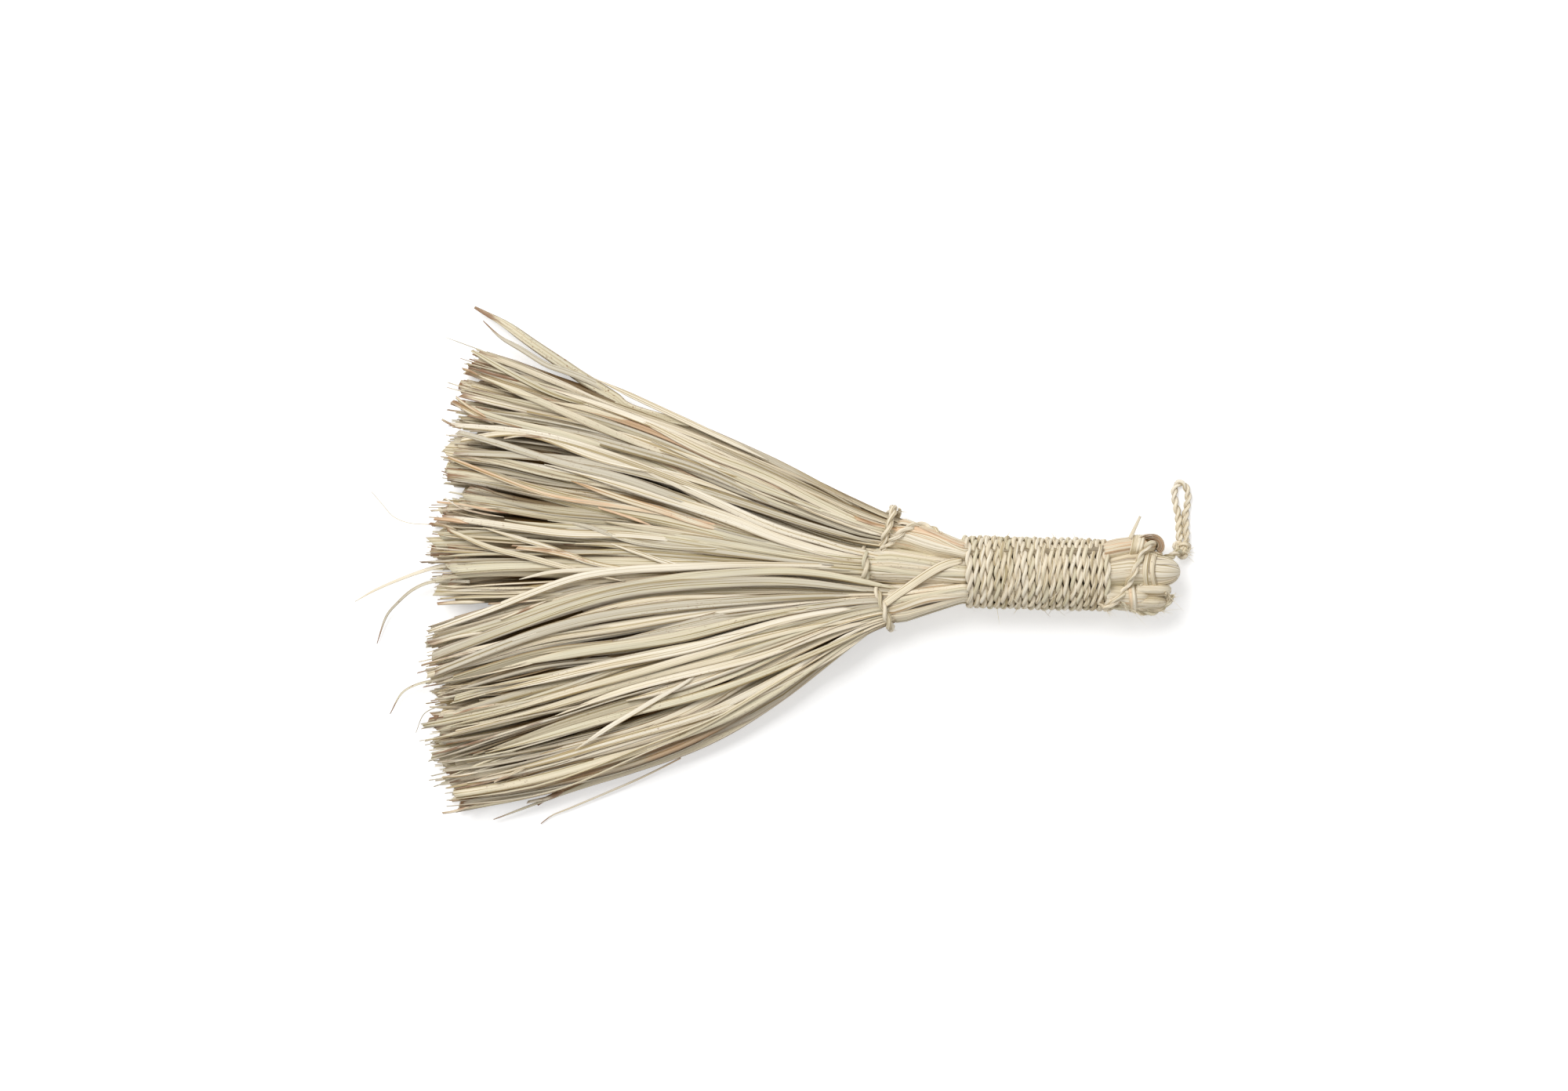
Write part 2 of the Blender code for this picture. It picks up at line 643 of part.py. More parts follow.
def build_band(name, bundle, offset, width):
    """A leaf band: a closed ring round one stem at the butt."""
    section = bundle.stem_at(BINDING_END_X + offset)
    bm = bmesh.new()
    loops = []
    for grow in (BAND_CLEARANCE, BAND_CLEARANCE + BAND_THICKNESS):
        verts = [bm.verts.new(point) for point in section.ring(grow)]
        loops += [bm.edges.new(pair) for pair in zip(verts, verts[1:] + verts[:1])]
    ring = bmesh.ops.bridge_loops(bm, edges=loops)["faces"]
    grown = bmesh.ops.extrude_face_region(bm, geom=ring)["geom"]
    verts = [part for part in grown if isinstance(part, bmesh.types.BMVert)]
    bmesh.ops.translate(bm, verts=verts, vec=(width, HANDLE_LEAN_share * width, 0))
    bmesh.ops.recalc_face_normals(bm, faces=bm.faces)
    mesh_object(name, bm, STRAW)


def build_fold(name, start_x, length, shares, half_height, colour):
    """A leaf end folded over: a half-round nose that faces the stem's end."""
    low, high = (axis_y(start_x) + BUTT_WIDTH * share for share in shares)
    outline = []
    for step in range(FOLD_STEPS + 1):
        angle = math.pi * step / FOLD_STEPS - math.pi / 2
        outline.append((start_x + CLEARANCE + (length - CLEARANCE) * math.cos(angle),
                        AXIS_Z + half_height * math.sin(angle)))
    rim = (high - low) * FOLD_RIM_share
    rings = []
    for y, shrink in ((low, FOLD_EDGE_share), (low + rim, 1), (high - rim, 1), (high, FOLD_EDGE_share)):
        rings.append([(start_x + CLEARANCE + (x - start_x - CLEARANCE) * shrink, y,
                       AXIS_Z + (z - AXIS_Z) * shrink) for x, z in outline])
    loft(name, rings, colour)


def build_curl():
    """The upper leaf ends, bent back on themselves: a hook seen from above."""
    end = UPPER.stem[-1]
    start_x = end.x + CLEARANCE
    outer = (end.high - end.low) / 2 - CURL_THICKNESS / 2
    middle = (end.high + end.low) / 2
    path = [Vector((start_x, middle + outer))]
    for step in range(FOLD_STEPS + 1):
        angle = math.pi / 2 - math.pi * step / FOLD_STEPS
        path.append(Vector((start_x + CURL_RUN + outer * math.cos(angle),
                            middle + outer * math.sin(angle))))
    inner = outer * CURL_INNER_share
    for step in range(FOLD_STEPS // 2 + 1):
        angle = -math.pi / 2 - math.pi * step / (FOLD_STEPS // 2)
        path.append(Vector((start_x + CURL_RUN / 2 + inner * math.cos(angle),
                            middle - outer + inner + inner * math.sin(angle))))
    rings = []
    for index, point in enumerate(path):
        ahead = path[min(index + 1, len(path) - 1)] - path[max(index - 1, 0)]
        side = Vector((-ahead.y, ahead.x)).normalized() * CURL_THICKNESS / 2
        first, second = point + side, point - side
        low, high = AXIS_Z - CURL_HEIGHT / 2, AXIS_Z + CURL_HEIGHT / 2
        rings.append([(*first, low), (*first, high), (*second, high), (*second, low)])
    loft("upper_butt_curl", rings, STRAW)


def butt_place(x_offset, across, z):
    x = BINDING_END_X + x_offset
    return Vector((x, axis_y(x) + across, z))


def build_butt_lashing():
    """The cord that climbs the butt's lower side and crosses its top to the upper stem."""
    out = BUTT_CORD / 2 + CLEARANCE
    points = []
    for along, inward, corner in LASHING_SIDE_share:
        section = LOWER.stem_at(BINDING_END_X + MIDDLE_BUTT_LENGTH * along)
        lift = section.heights[corner] + out * LASHING_CORNER_share * corner if corner >= 0 else 0
        points.append(Vector((section.x, section.low + out * inward, AXIS_Z + lift)))
    side = points[0].y - axis_y(points[0].x)
    over = [butt_place(MIDDLE_BUTT_LENGTH * along, side * across, 0)
            for along, across in LASHING_TOP_share]
    points += draped([point.to_2d() for point in smooth_route(over, BUTT_CORD)], BUTT_CORD, BUTT_CORD)
    cord("butt_lashing", smooth_route(points, BUTT_CORD), BUTT_CORD, CORD_STRAW)


def build_butt_edge_cord():
    """The cord along the lower edge of the butt, wrapped round the folded ends."""
    low = LOWER.stem[-1]
    out = BUTT_CORD / 2 + CLEARANCE
    side = low.low - axis_y(low.x) - BAND_CLEARANCE - BAND_THICKNESS - out
    end = LOWER_BUTT_LENGTH + LOWER_FOLD_1_LENGTH + out
    top = BUTT_WIDTH * LOWER_FOLD_1_share[0] + BUTT_CORD
    before, first, second = (BUTT_CORD * share for share in EDGE_CORD_TURN_share)
    route = [(BUTT_FLARE, side), (LOWER_BUTT_LENGTH, side),
             (LOWER_BUTT_LENGTH + LOWER_FOLD_2_LENGTH * EDGE_CORD_FOLD_share, side),
             (end - before, side + first), (end, side + second), (end, top)]
    points = [butt_place(along, across, AXIS_Z) for along, across in route]
    cord("butt_edge_cord", smooth_route(points, BUTT_CORD), BUTT_CORD, CORD_STRAW)


def build_butt():
    build_band("upper_butt_band", UPPER, UPPER_BAND_X, UPPER_BAND_WIDTH)
    build_band("lower_butt_band", LOWER, LOWER_BAND_X, LOWER_BAND_WIDTH)
    for number in (1, 2):
        offset = MIDDLE_BAND_X + MIDDLE_BAND_SPACING * (number - 1)
        build_band(f"middle_butt_band_{number}", MIDDLE, offset, MIDDLE_BAND_WIDTH)
    height = GRIP_RADIUS * FOLD_HEIGHT_share
    build_fold("middle_butt_fold", MIDDLE.stem[-1].x, MIDDLE_FOLD_LENGTH, MIDDLE_FOLD_share,
               height * BUTT_HEIGHT_shares[1], GREY_STRAW)
    build_fold("lower_butt_fold_1", LOWER.stem[-1].x, LOWER_FOLD_1_LENGTH, LOWER_FOLD_1_share,
               height * BUTT_HEIGHT_shares[2], STRAW)
    build_fold("lower_butt_fold_2", LOWER.stem[-1].x, LOWER_FOLD_2_LENGTH, LOWER_FOLD_2_share,
               height * BUTT_HEIGHT_shares[2], GREEN_STRAW)
    build_curl()
    build_butt_lashing()
    build_butt_edge_cord()


# Hanging loop


def knot_centre():
    x = BINDING_END_X + KNOT_OUT
    return Vector((x, axis_y(x) + KNOT_SIDE, KNOT_RADIUS))


def build_loop_link(centre):
    """The short cord from the end of the middle stem down to the knot."""
    end = MIDDLE.stem[-1]
    gap = LOOP_CORD / 2 + CLEARANCE
    fold_top = axis_y(end.x) + BUTT_WIDTH * MIDDLE_FOLD_share[1]
    start = Vector((end.x + CLEARANCE, fold_top + gap, AXIS_Z))
    inward = Vector(KNOT_LINK_share).normalized()
    stop = centre + inward * (KNOT_RADIUS + CLEARANCE)
    first, last = start + Vector((LOOP_CORD / 2, 0, 0)), stop + inward * LOOP_CORD / 2
    route = smooth_route([first, first + Vector((LOOP_CORD, 0, 0)), last + inward * LOOP_CORD, last],
                         LOOP_CORD / 2)
    cord("loop_link", [start, *route, stop], LOOP_CORD, CORD_STRAW)


def loop_route(centre):
    """The loop's own points, from the knot round the eye and back to the knot."""
    low = LOOP_CORD / 2 + LOOP_LIFT
    near, leg, eye = KNOT_RADIUS + CLEARANCE, LEG_SPACING / 2, EYE_WIDTH / 2
    out, along, down = LOOP_START_share
    half = [(leg * out, near * along, lerp(centre.z, low, down))]
    half += [(lerp(leg, eye, spread), LOOP_LENGTH * along, lerp(low, centre.z, lift))
             for along, spread, lift in LOOP_LEGS_share]
    half += [(eye * share, LOOP_LENGTH * along, low) for along, share in LOOP_EYE_share]
    top = [(0, LOOP_LENGTH, low)]
    other = [(-side, along, z) for side, along, z in half[::-1]]
    return [(centre.x + side - along * LOOP_LEAN_share, centre.y + along, z)
            for side, along, z in half + top + other]


def build_loop():
    centre = knot_centre()
    build_loop_link(centre)
    bm = bmesh.new()
    bmesh.ops.create_uvsphere(bm, u_segments=16, v_segments=10, radius=KNOT_RADIUS)
    knot = mesh_object("loop_knot", bm, CORD_STRAW)
    knot.location = centre
    route = smooth_route(loop_route(centre), LOOP_CORD * LOOP_STEP_share)
    loop = cord("hanging_loop", route, LOOP_CORD, CORD_STRAW)
    for point in loop.data.splines[0].points:
        point.co = (*(Vector(point.co[:3]) - centre), 1)
    loop.location = centre


def main():
    for item in list(bpy.data.objects):
        bpy.data.objects.remove(item)
    build_stems()
    for bundle in BUNDLES.values():
        build_fan(bundle)
        build_tie(bundle)
    build_strays()
    build_binding()
    build_neck_strap()
    build_neck_link()
    build_butt()
    build_loop()


main()
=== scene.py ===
"""Dresses the palm broom: leaf strips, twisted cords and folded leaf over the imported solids.

+X runs from the cut tips to the butt, +Y is the side of the upper bundle, and Z = 0 is the table.
Flat places are given where they lie on the photograph, in its pixels, and heights in millimetres.
"""
import math
import random

import bmesh
import bpy
import numpy as np
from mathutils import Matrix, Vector


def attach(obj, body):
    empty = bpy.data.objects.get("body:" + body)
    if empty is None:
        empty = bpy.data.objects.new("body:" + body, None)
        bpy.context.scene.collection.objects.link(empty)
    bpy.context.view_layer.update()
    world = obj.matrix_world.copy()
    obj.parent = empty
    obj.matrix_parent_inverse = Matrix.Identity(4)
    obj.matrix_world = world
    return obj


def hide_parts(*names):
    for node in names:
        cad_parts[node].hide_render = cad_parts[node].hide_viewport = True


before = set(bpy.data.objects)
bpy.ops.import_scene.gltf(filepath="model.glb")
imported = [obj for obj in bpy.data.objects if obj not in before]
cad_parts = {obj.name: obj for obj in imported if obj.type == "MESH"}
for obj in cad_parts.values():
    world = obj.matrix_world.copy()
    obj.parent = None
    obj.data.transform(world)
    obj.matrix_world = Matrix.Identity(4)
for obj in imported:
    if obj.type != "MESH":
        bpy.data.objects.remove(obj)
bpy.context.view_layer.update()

bl_info = {
    "name": "Palm broom",
    "version": (1, 0, 0),
    "blender": (4, 5, 0),
    "location": "3D View > Sidebar > Palm broom",
    "description": "Dresses a packed palm broom with leaf strips, twisted cords and folded leaf",
    "category": "Add Mesh",
}

MM = 0.001
UP = np.array((0.0, 0.0, 1.0))

# The photograph: the width of a pixel on the table, the pixel over the frame's origin, and its size.
# The camera hangs straight above, and the width of a pixel holds at SHARP_HEIGHT
PICTURE_SCALE = 0.42 * MM
PICTURE_ORIGIN = (977.5, 722.5)
PICTURE_SIZE = (2000, 1392)
CAMERA_HEIGHT = 2.0
SHARP_HEIGHT = 12 * MM

# Handle and necks, as in the part's source
GRIP_RADIUS = 19.5 * MM
BINDING_START = 104.0 * MM
BINDING_END = 183.75 * MM
HANDLE_Y = -2.7 * MM
HANDLE_LEAN = -0.026
AXIS_Z = 18.98 * MM
NECK_HALF = 8.5 * MM

# Lines: steps between two given points, and points to a span of smooth_noise
LINE_STEPS = 12
NOISE_SPAN = 40

# Meshes: the lowest that leaf and hairs lie, the distance at which points are merged, and the
# angle at which an edge stays sharp
TABLE_CLEAR = 0.2 * MM
HAIR_CLEAR = 0.4 * MM
WELD = 0.001 * MM
SHARP_ANGLE = math.radians(50)

# Leaf: how far apart two strips may start in the leaf's pattern, in metres, how the pleats of a
# strip with so many columns rise across it, how far a strip's edges press on a skin, and the
# columns of the strips along a skin and of the bands round it
PATTERN_SHIFT = 3.0
PLEATS = {2: (0, 1, 0), 3: (0, 0.9, 0.7, 0), 4: (0, 1, 0.25, 0.9, 0)}
EDGE_PRESS = 0.5
WRAP_COLUMNS = 5
BELT_COLUMNS = 4

# Cords: plies, the radius of each as a share of the cord's diameter, how far it varies, rings to a turn, how
# dark and wide the painted shade in the groove between plies is, and how small the last ring of an end is
PLIES = 2
PLY_SHARE = 0.29
PLY_VARIES = 0.16
TURN_RINGS = 9
GROOVE_SHADE = 0.5
GROOVE_WIDTH = 0.1
CORD_END = 0.55

# Hairs that fray from a cord: points, sides, the share of the radius left at the end, radii, tints
HAIR_POINTS = 7
HAIR_SIDES = 4
HAIR_TAPER = 0.4
HAIR_RADII = (0.10 * MM, 0.20 * MM)
HAIR_TINTS = (0.3, 0.8)


def linear(red, green, blue):
    """A display colour, 0 to 255, as the linear colour that Blender keeps."""
    shares = (value / 255 for value in (red, green, blue))
    return tuple(s / 12.92 if s <= 0.04045 else ((s + 0.055) / 1.055) ** 2.4 for s in shares)


class BroomSizes(bpy.types.PropertyGroup):
    leaf_thickness: bpy.props.FloatProperty(
        name="Leaf thickness", description="Thickness of a dry leaf strip",
        default=0.24 * MM, min=0.05 * MM, unit="LENGTH", precision=5)
    strip_width: bpy.props.FloatProperty(
        name="Strip width", description="Width of a usual strip in the middle of the fan",
        default=5.8 * MM, min=0.5 * MM, unit="LENGTH", precision=5)
    fine_width: bpy.props.FloatProperty(
        name="Fine strip width", description="Width of the thin strips torn off the others",
        default=1.3 * MM, min=0.2 * MM, unit="LENGTH", precision=5)
    leaf_layers: bpy.props.IntProperty(
        name="Leaf layers", description="Layers of strips, one over the other, in each bundle",
        default=12, min=2)
    binding_cord: bpy.props.FloatProperty(
        name="Binding cord", description="Thickness of the cord wound round the handle",
        default=3.5 * MM, min=1 * MM, unit="LENGTH", precision=5)
    binding_pitch: bpy.props.FloatProperty(
        name="Binding pitch", description="Distance from one turn of the binding to the next",
        default=3.65 * MM, min=1 * MM, unit="LENGTH", precision=5)
    binding_turns: bpy.props.IntProperty(
        name="Binding turns", description="Turns of cord round the handle", default=21, min=1)
    tie_cord: bpy.props.FloatProperty(
        name="Tie cord", description="Thickness of the cords round the necks and on the butt",
        default=3.6 * MM, min=1 * MM, unit="LENGTH", precision=5)
    loop_cord: bpy.props.FloatProperty(
        name="Loop cord", description="Thickness of the hanging loop's cord",
        default=3.4 * MM, min=1 * MM, unit="LENGTH", precision=5)
    twist: bpy.props.FloatProperty(
        name="Twist", description="Length of cord in which its two plies go once round each other",
        default=16.5 * MM, min=2 * MM, unit="LENGTH", precision=5)


class BroomColours(bpy.types.PropertyGroup):
    # Inner leaf: the darkest stop of the leaf's colours, which the strips and cores with the lowest tints
    # take
    shade: bpy.props.FloatVectorProperty(
        name="Inner leaf", description="Dusty strips deep inside the bundles", subtype="COLOR", size=3,
        default=linear(190, 175, 142), min=0, max=1)
    # Painted shade: this dark colour is multiplied over the leaf and cords where their deep mark is high,
    # between and under the strips deep in the bundles, in the cords' grooves and on the cores
    painted_shade: bpy.props.FloatVectorProperty(
        name="Dust", description="Dark dust between the strips, laid over their own colour", subtype="COLOR",
        size=3, default=linear(124, 98, 50), min=0, max=1)
    grey: bpy.props.FloatVectorProperty(
        name="Grey leaf", description="Weathered grey strips", subtype="COLOR", size=3,
        default=linear(216, 208, 189), min=0, max=1)
    green: bpy.props.FloatVectorProperty(
        name="Green leaf", description="Strips that kept some green", subtype="COLOR", size=3,
        default=linear(229, 221, 194), min=0, max=1)
    straw: bpy.props.FloatVectorProperty(
        name="Straw leaf", description="Usual dry strips", subtype="COLOR", size=3,
        default=linear(244, 232, 206), min=0, max=1)
    pale: bpy.props.FloatVectorProperty(
        name="Pale leaf", description="The palest strips", subtype="COLOR", size=3,
        default=linear(252, 244, 226), min=0, max=1)
    peach: bpy.props.FloatVectorProperty(
        name="Peach leaf", description="Strips from near the stalk", subtype="COLOR", size=3,
        default=linear(240, 208, 174), min=0, max=1)
    brown: bpy.props.FloatVectorProperty(
        name="Brown ends", description="Withered ends and flecks", subtype="COLOR", size=3,
        default=linear(142, 99, 68), min=0, max=1)
    cord: bpy.props.FloatVectorProperty(
        name="Cord", description="Twisted cord", subtype="COLOR", size=3,
        default=linear(248, 236, 212), min=0, max=1)


def sizes():
    """The broom's sizes, as set on the scene."""
    return bpy.context.scene.broom_sizes


def colours():
    """The broom's colours, as set on the scene."""
    return bpy.context.scene.broom_colours


# Places and lines
def flat(px, py):
    """A place on the photograph as X and Y in the row frame."""
    return ((px - PICTURE_ORIGIN[0]) * PICTURE_SCALE, (PICTURE_ORIGIN[1] - py) * PICTURE_SCALE)


def spot(px, py, z):
    """A place on the photograph and a height in millimetres as a point in the row frame."""
    return (*flat(px, py), z * MM)


def even_line(points, count):
    """A smooth line through the points, as an array of evenly spaced ones."""
    points = np.array(points, float)
    if len(points) == 2:
        return points[0] + np.linspace(0, 1, count)[:, None] * (points[1] - points[0])
    ends = np.vstack((2 * points[0] - points[1], points, 2 * points[-1] - points[-2]))
    t = np.linspace(0, 1, LINE_STEPS, endpoint=False)[:, None]
    spans = [0.5 * (2 * b + (c - a) * t + (2 * a - 5 * b + 4 * c - d) * t ** 2
                    + (3 * b - a - 3 * c + d) * t ** 3)
             for a, b, c, d in zip(ends, ends[1:], ends[2:], ends[3:])]
    fine = np.vstack((*spans, points[-1:]))
    run = run_of(fine)
    wanted = np.linspace(0, run[-1], count)
    return np.column_stack([np.interp(wanted, run, fine[:, axis]) for axis in range(fine.shape[1])])


def settled(path, reach=4):
    """The path with its small kinks smoothed away."""
    padded = np.vstack((2 * path[0] - path[reach:0:-1], path, 2 * path[-1] - path[-2:-reach - 2:-1]))
    spans = [padded[shift:shift + len(path)] for shift in range(2 * reach + 1)]
    return sum(spans) / len(spans)


def run_of(points):
    """How far along the line each of its points lies."""
    return np.concatenate(([0], np.cumsum(np.linalg.norm(np.diff(points, axis=0), axis=1))))


def length_of(points):
    """The whole length of a line."""
    return np.linalg.norm(np.diff(points, axis=0), axis=1).sum()


def directions(points):
    """The way ahead at each point of a line, one unit long."""
    ahead = np.gradient(points, axis=0)
    return ahead / np.linalg.norm(ahead, axis=1)[:, None]


def square_to(normals, ahead):
    """The normals made square to the way ahead, and the sideways directions that go with them."""
    lift = normals - (normals * ahead).sum(1)[:, None] * ahead
    lift /= np.linalg.norm(lift, axis=1)[:, None]
    return lift, np.cross(ahead, lift)


class LeafMesh:
    """The strips and cords of one piece, with the marks that their material reads: tint, dry for withered,
    side for the place across a strip, and deep for painted shade, a dark colour laid where shade falls. While
    a bundle is filled, the layer's depth and its share of painted shade hold for the layer in hand, and ends
    and tints for its clumps."""

    def __init__(self, seed):
        self.chance = random.Random(seed)
        self.bm = bmesh.new()
        self.uv = self.bm.loops.layers.uv.new("leaf")
        self.tint = self.bm.verts.layers.float.new("tint")
        self.dry = self.bm.verts.layers.float.new("dry")
        self.side = self.bm.verts.layers.float.new("side")
        self.deep = self.bm.verts.layers.float.new("deep")
        self.depth = self.shade_share = 0.0
        self.ends = self.tints = ()

    def sheet(self, places, across, along, tint, dry, side, deep=0.0):
        """A grid of faces with its corners at places, an array of rows by columns by three."""
        rows, columns = places.shape[:2]
        tint = np.broadcast_to(tint, rows)
        deep = np.asarray(deep, float)
        deep = np.broadcast_to(deep[:, None] if deep.ndim == 1 else deep, (rows, columns))
        made = bmesh.ops.create_grid(self.bm, x_segments=columns - 1, y_segments=rows - 1, size=1)
        spots = {}
        for vert in made["verts"]:
            column = round((vert.co.x + 1) / 2 * (columns - 1))
            row = round((vert.co.y + 1) / 2 * (rows - 1))
            spots[vert] = (row, column)
        start = (self.chance.uniform(0, PATTERN_SHIFT), self.chance.uniform(0, PATTERN_SHIFT))
        for face in {face for vert in spots for face in vert.link_faces}:
            for loop in face.loops:
                row, column = spots[loop.vert]
                loop[self.uv].uv = (start[0] + across[row][column], start[1] + along[row])
        for vert, (row, column) in spots.items():
            vert.co = places[row, column]
            vert.co.z = max(vert.co.z, TABLE_CLEAR)
            vert[self.tint] = tint[row]
            vert[self.dry] = dry[row]
            vert[self.side] = side[column]
            vert[self.deep] = deep[row, column]
        return spots

    def strip(self, path, width, roll=0.0, *, fold, tint, columns, normals=UP, dry=0.0, slant=0.0,
              jag=0.0, deep=0.0):
        """A leaf strip along a path. Width, roll and dryness may change along it, fold is how high
        its pleats rise, and its end may slant or be jagged."""
        path = np.asarray(path, float)
        rows = len(path)
        width = np.broadcast_to(width, rows)
        roll = np.broadcast_to(roll, rows)
        dry = np.broadcast_to(dry, rows)
        ahead = directions(path)
        lift, across = square_to(np.broadcast_to(normals, path.shape), ahead)
        turned = np.cos(roll)[:, None] * across + np.sin(roll)[:, None] * lift
        raised = np.cos(roll)[:, None] * lift - np.sin(roll)[:, None] * across
        side = np.linspace(-1, 1, columns + 1)
        pleat = np.array(PLEATS[columns]) - 0.5
        half = width / 2
        places = (path[:, None] + turned[:, None] * (side[None, :, None] * half[:, None, None])
                  + raised[:, None] * (pleat[None, :, None] * half[:, None, None] * fold))
        for column in range(columns + 1):
            shift = slant * side[column] * width[-1] + self.chance.uniform(-jag, 0)
            places[-1, column] += ahead[-1] * shift
        self.sheet(places, half[:, None] * side[None], run_of(path), tint, dry, side, deep)

    def rope(self, path, diameter, twist, *, tint, normals=UP, sides=7, spread=0.15, flatten=1.0,
             loose=0.0, uneven=0.3):
        """A twisted cord along a path: round plies that wind about each other. Its twist is uneven,
        and the plies may lie loose or flattened along the normals."""
        total = length_of(np.asarray(path, float))
        count = max(6, round(total / (twist / TURN_RINGS)))
        path = even_line(path, count)
        ahead = directions(path)
        lift, across = square_to(carried(normals, path, ahead), ahead)
        run = np.linspace(0, total, count)
        ply = diameter * PLY_SHARE
        out = diameter / 2 - ply
        slips = uneven * smooth_noise(self.chance, count, 3)
        for number in range(PLIES):
            turn = slips - math.tau * (run / twist + number / PLIES)
            waver = smooth_noise(self.chance, count, 5) * loose
            centre = path + ((out + waver) * np.cos(turn))[:, None] * across \
                + ((out + waver) * np.sin(turn) * flatten)[:, None] * lift
            thick = ply * (1 + PLY_VARIES * smooth_noise(self.chance, count, 4))
            shade = tint + spread * smooth_noise(self.chance, count, 3)
            away = np.linspace(0, math.tau, sides + 1)[None, :] - turn[:, None]
            # Painted shade in the groove between the plies, on the side of each ply that faces the other
            groove = GROOVE_SHADE * np.clip(GROOVE_WIDTH - np.cos(away), 0, 1)
            self.tube(centre, thick, across, lift, run, sides, np.clip(shade, 0, 1), groove)

    def tube(self, centre, radius, across, lift, run, sides, tint, deep):
        """A closed round tube along its centre line, with rounded ends."""
        radius = radius.copy()
        radius[[0, -1]] *= CORD_END
        angle = np.linspace(0, math.tau, sides + 1)
        places = (centre[:, None] + np.cos(angle)[None, :, None] * across[:, None] * radius[:, None, None]
                  + np.sin(angle)[None, :, None] * lift[:, None] * radius[:, None, None])
        round_way = angle[None, :] * radius[:, None]
        spots = self.sheet(places, round_way, run, tint, np.zeros(len(run)), np.zeros(sides + 1), deep)
        self.close(spots)

    def close(self, spots):
        """Joins the seam of a tube whose sheet was just made, and fills its two ends."""
        bmesh.ops.remove_doubles(self.bm, verts=list(spots), dist=WELD)
        made = [vert for vert in spots if vert.is_valid]
        rims = {edge for vert in made for edge in vert.link_edges if edge.is_boundary}
        bmesh.ops.holes_fill(self.bm, edges=list(rims), sides=0)

    def wrap(self, skin, x, turn, width, grow, tint, deep=0.0, dry=0.0):
        """A leaf strip that hugs a skin along its length, centred on a turn round it."""
        share = np.linspace(-0.5, 0.5, WRAP_COLUMNS + 1)
        turns = turn[:, None] + share[None] * (width / skin.girth(x))[:, None]
        lift = grow[:, None] * (1 - EDGE_PRESS * (2 * share[None]) ** 2)
        places = np.stack([skin.places(turns[:, column], x, lift[:, column])
                           for column in range(WRAP_COLUMNS + 1)], axis=1)
        run = run_of(places[:, WRAP_COLUMNS // 2])
        self.sheet(places[:, ::-1], width[:, None] * share[None], run, tint,
                   np.broadcast_to(dry, len(x)), 2 * share, deep)

    def belt(self, skin, x, turn, width, grow, tint):
        """A leaf band that hugs a skin round it. The band's x changes from turn to turn."""
        share = np.linspace(-0.5, 0.5, BELT_COLUMNS + 1)
        places = np.stack([skin.places(turn, x + width * each, grow * (1 - EDGE_PRESS * (2 * each) ** 2))
                           for each in share], axis=1)
        run = run_of(places[:, BELT_COLUMNS // 2])
        self.sheet(places, width[:, None] * share[None], run, tint, np.zeros(len(x)), 2 * share)

    def hair(self, path, radius, tint):
        """A loose fibre, round and closed."""
        ahead = directions(path)
        lift, across = square_to(np.broadcast_to(UP + 0.01, path.shape), ahead)
        thick = np.linspace(1, HAIR_TAPER, len(path)) * radius
        self.tube(path, thick, across, lift, run_of(path), HAIR_SIDES, tint, 0.0)

    def fray(self, start, ahead, reach, bend=0.6):
        """A hair that leaves a cord from start, curling away."""
        part = np.linspace(0, 1, HAIR_POINTS)[:, None]
        curl = np.array([self.chance.gauss(0, bend) for _ in range(3)])
        ahead = np.asarray(ahead, float) / np.linalg.norm(ahead)
        path = np.asarray(start) + reach * (ahead * part + curl * part ** 2)
        path[:, 2] = np.maximum(path[:, 2], HAIR_CLEAR)
        self.hair(path, self.chance.uniform(*HAIR_RADII), self.chance.uniform(*HAIR_TINTS))

    def finish(self, name, material, nodes, body="broom", thickness=None, recalc=False):
        """Makes the object, hides the nodes it stands for and lets it ride on its body."""
        if recalc:
            bmesh.ops.recalc_face_normals(self.bm, faces=self.bm.faces)
        mesh = bpy.data.meshes.new(name)
        self.bm.to_mesh(mesh)
        self.bm.free()
        mesh.shade_smooth()
        mesh.set_sharp_from_angle(angle=SHARP_ANGLE)
        item = bpy.data.objects.new(name, mesh)
        bpy.context.scene.collection.objects.link(item)
        item.data.materials.append(material)
        if thickness:
            solid = item.modifiers.new("leaf thickness", "SOLIDIFY")
            solid.thickness = thickness
            solid.offset = 0
        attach(item, body)
        if nodes:
            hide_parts(*nodes)
        return item


def carried(normals, path, ahead):
    """A row of normals spread over the path, or a single one carried along it without twisting."""
    normals = np.asarray(normals, float)
    if normals.ndim == 2:
        places = np.linspace(0, len(normals) - 1, len(path))
        return np.column_stack([np.interp(places, range(len(normals)), normals[:, axis])
                                for axis in range(3)])
    result = [normals - normals.dot(ahead[0]) * ahead[0]]
    for way in ahead[1:]:
        last = result[-1]
        result.append(last - last.dot(way) * way)
        result[-1] = result[-1] / np.linalg.norm(result[-1])
    return np.array(result)


def smooth_noise(chance, count, waves):
    """A wavering row of values, from -1 to 1, with about so many waves to a span of points."""
    knots = max(3, round(count * waves / NOISE_SPAN) + 1)
    values = np.array([chance.uniform(-1, 1) for _ in range(knots)])
    place = np.linspace(0, knots - 1, count)
    low = np.minimum(place.astype(int), knots - 2)
    share = (1 - np.cos((place - low) * math.pi)) / 2
    return values[low] * (1 - share) + values[low + 1] * share


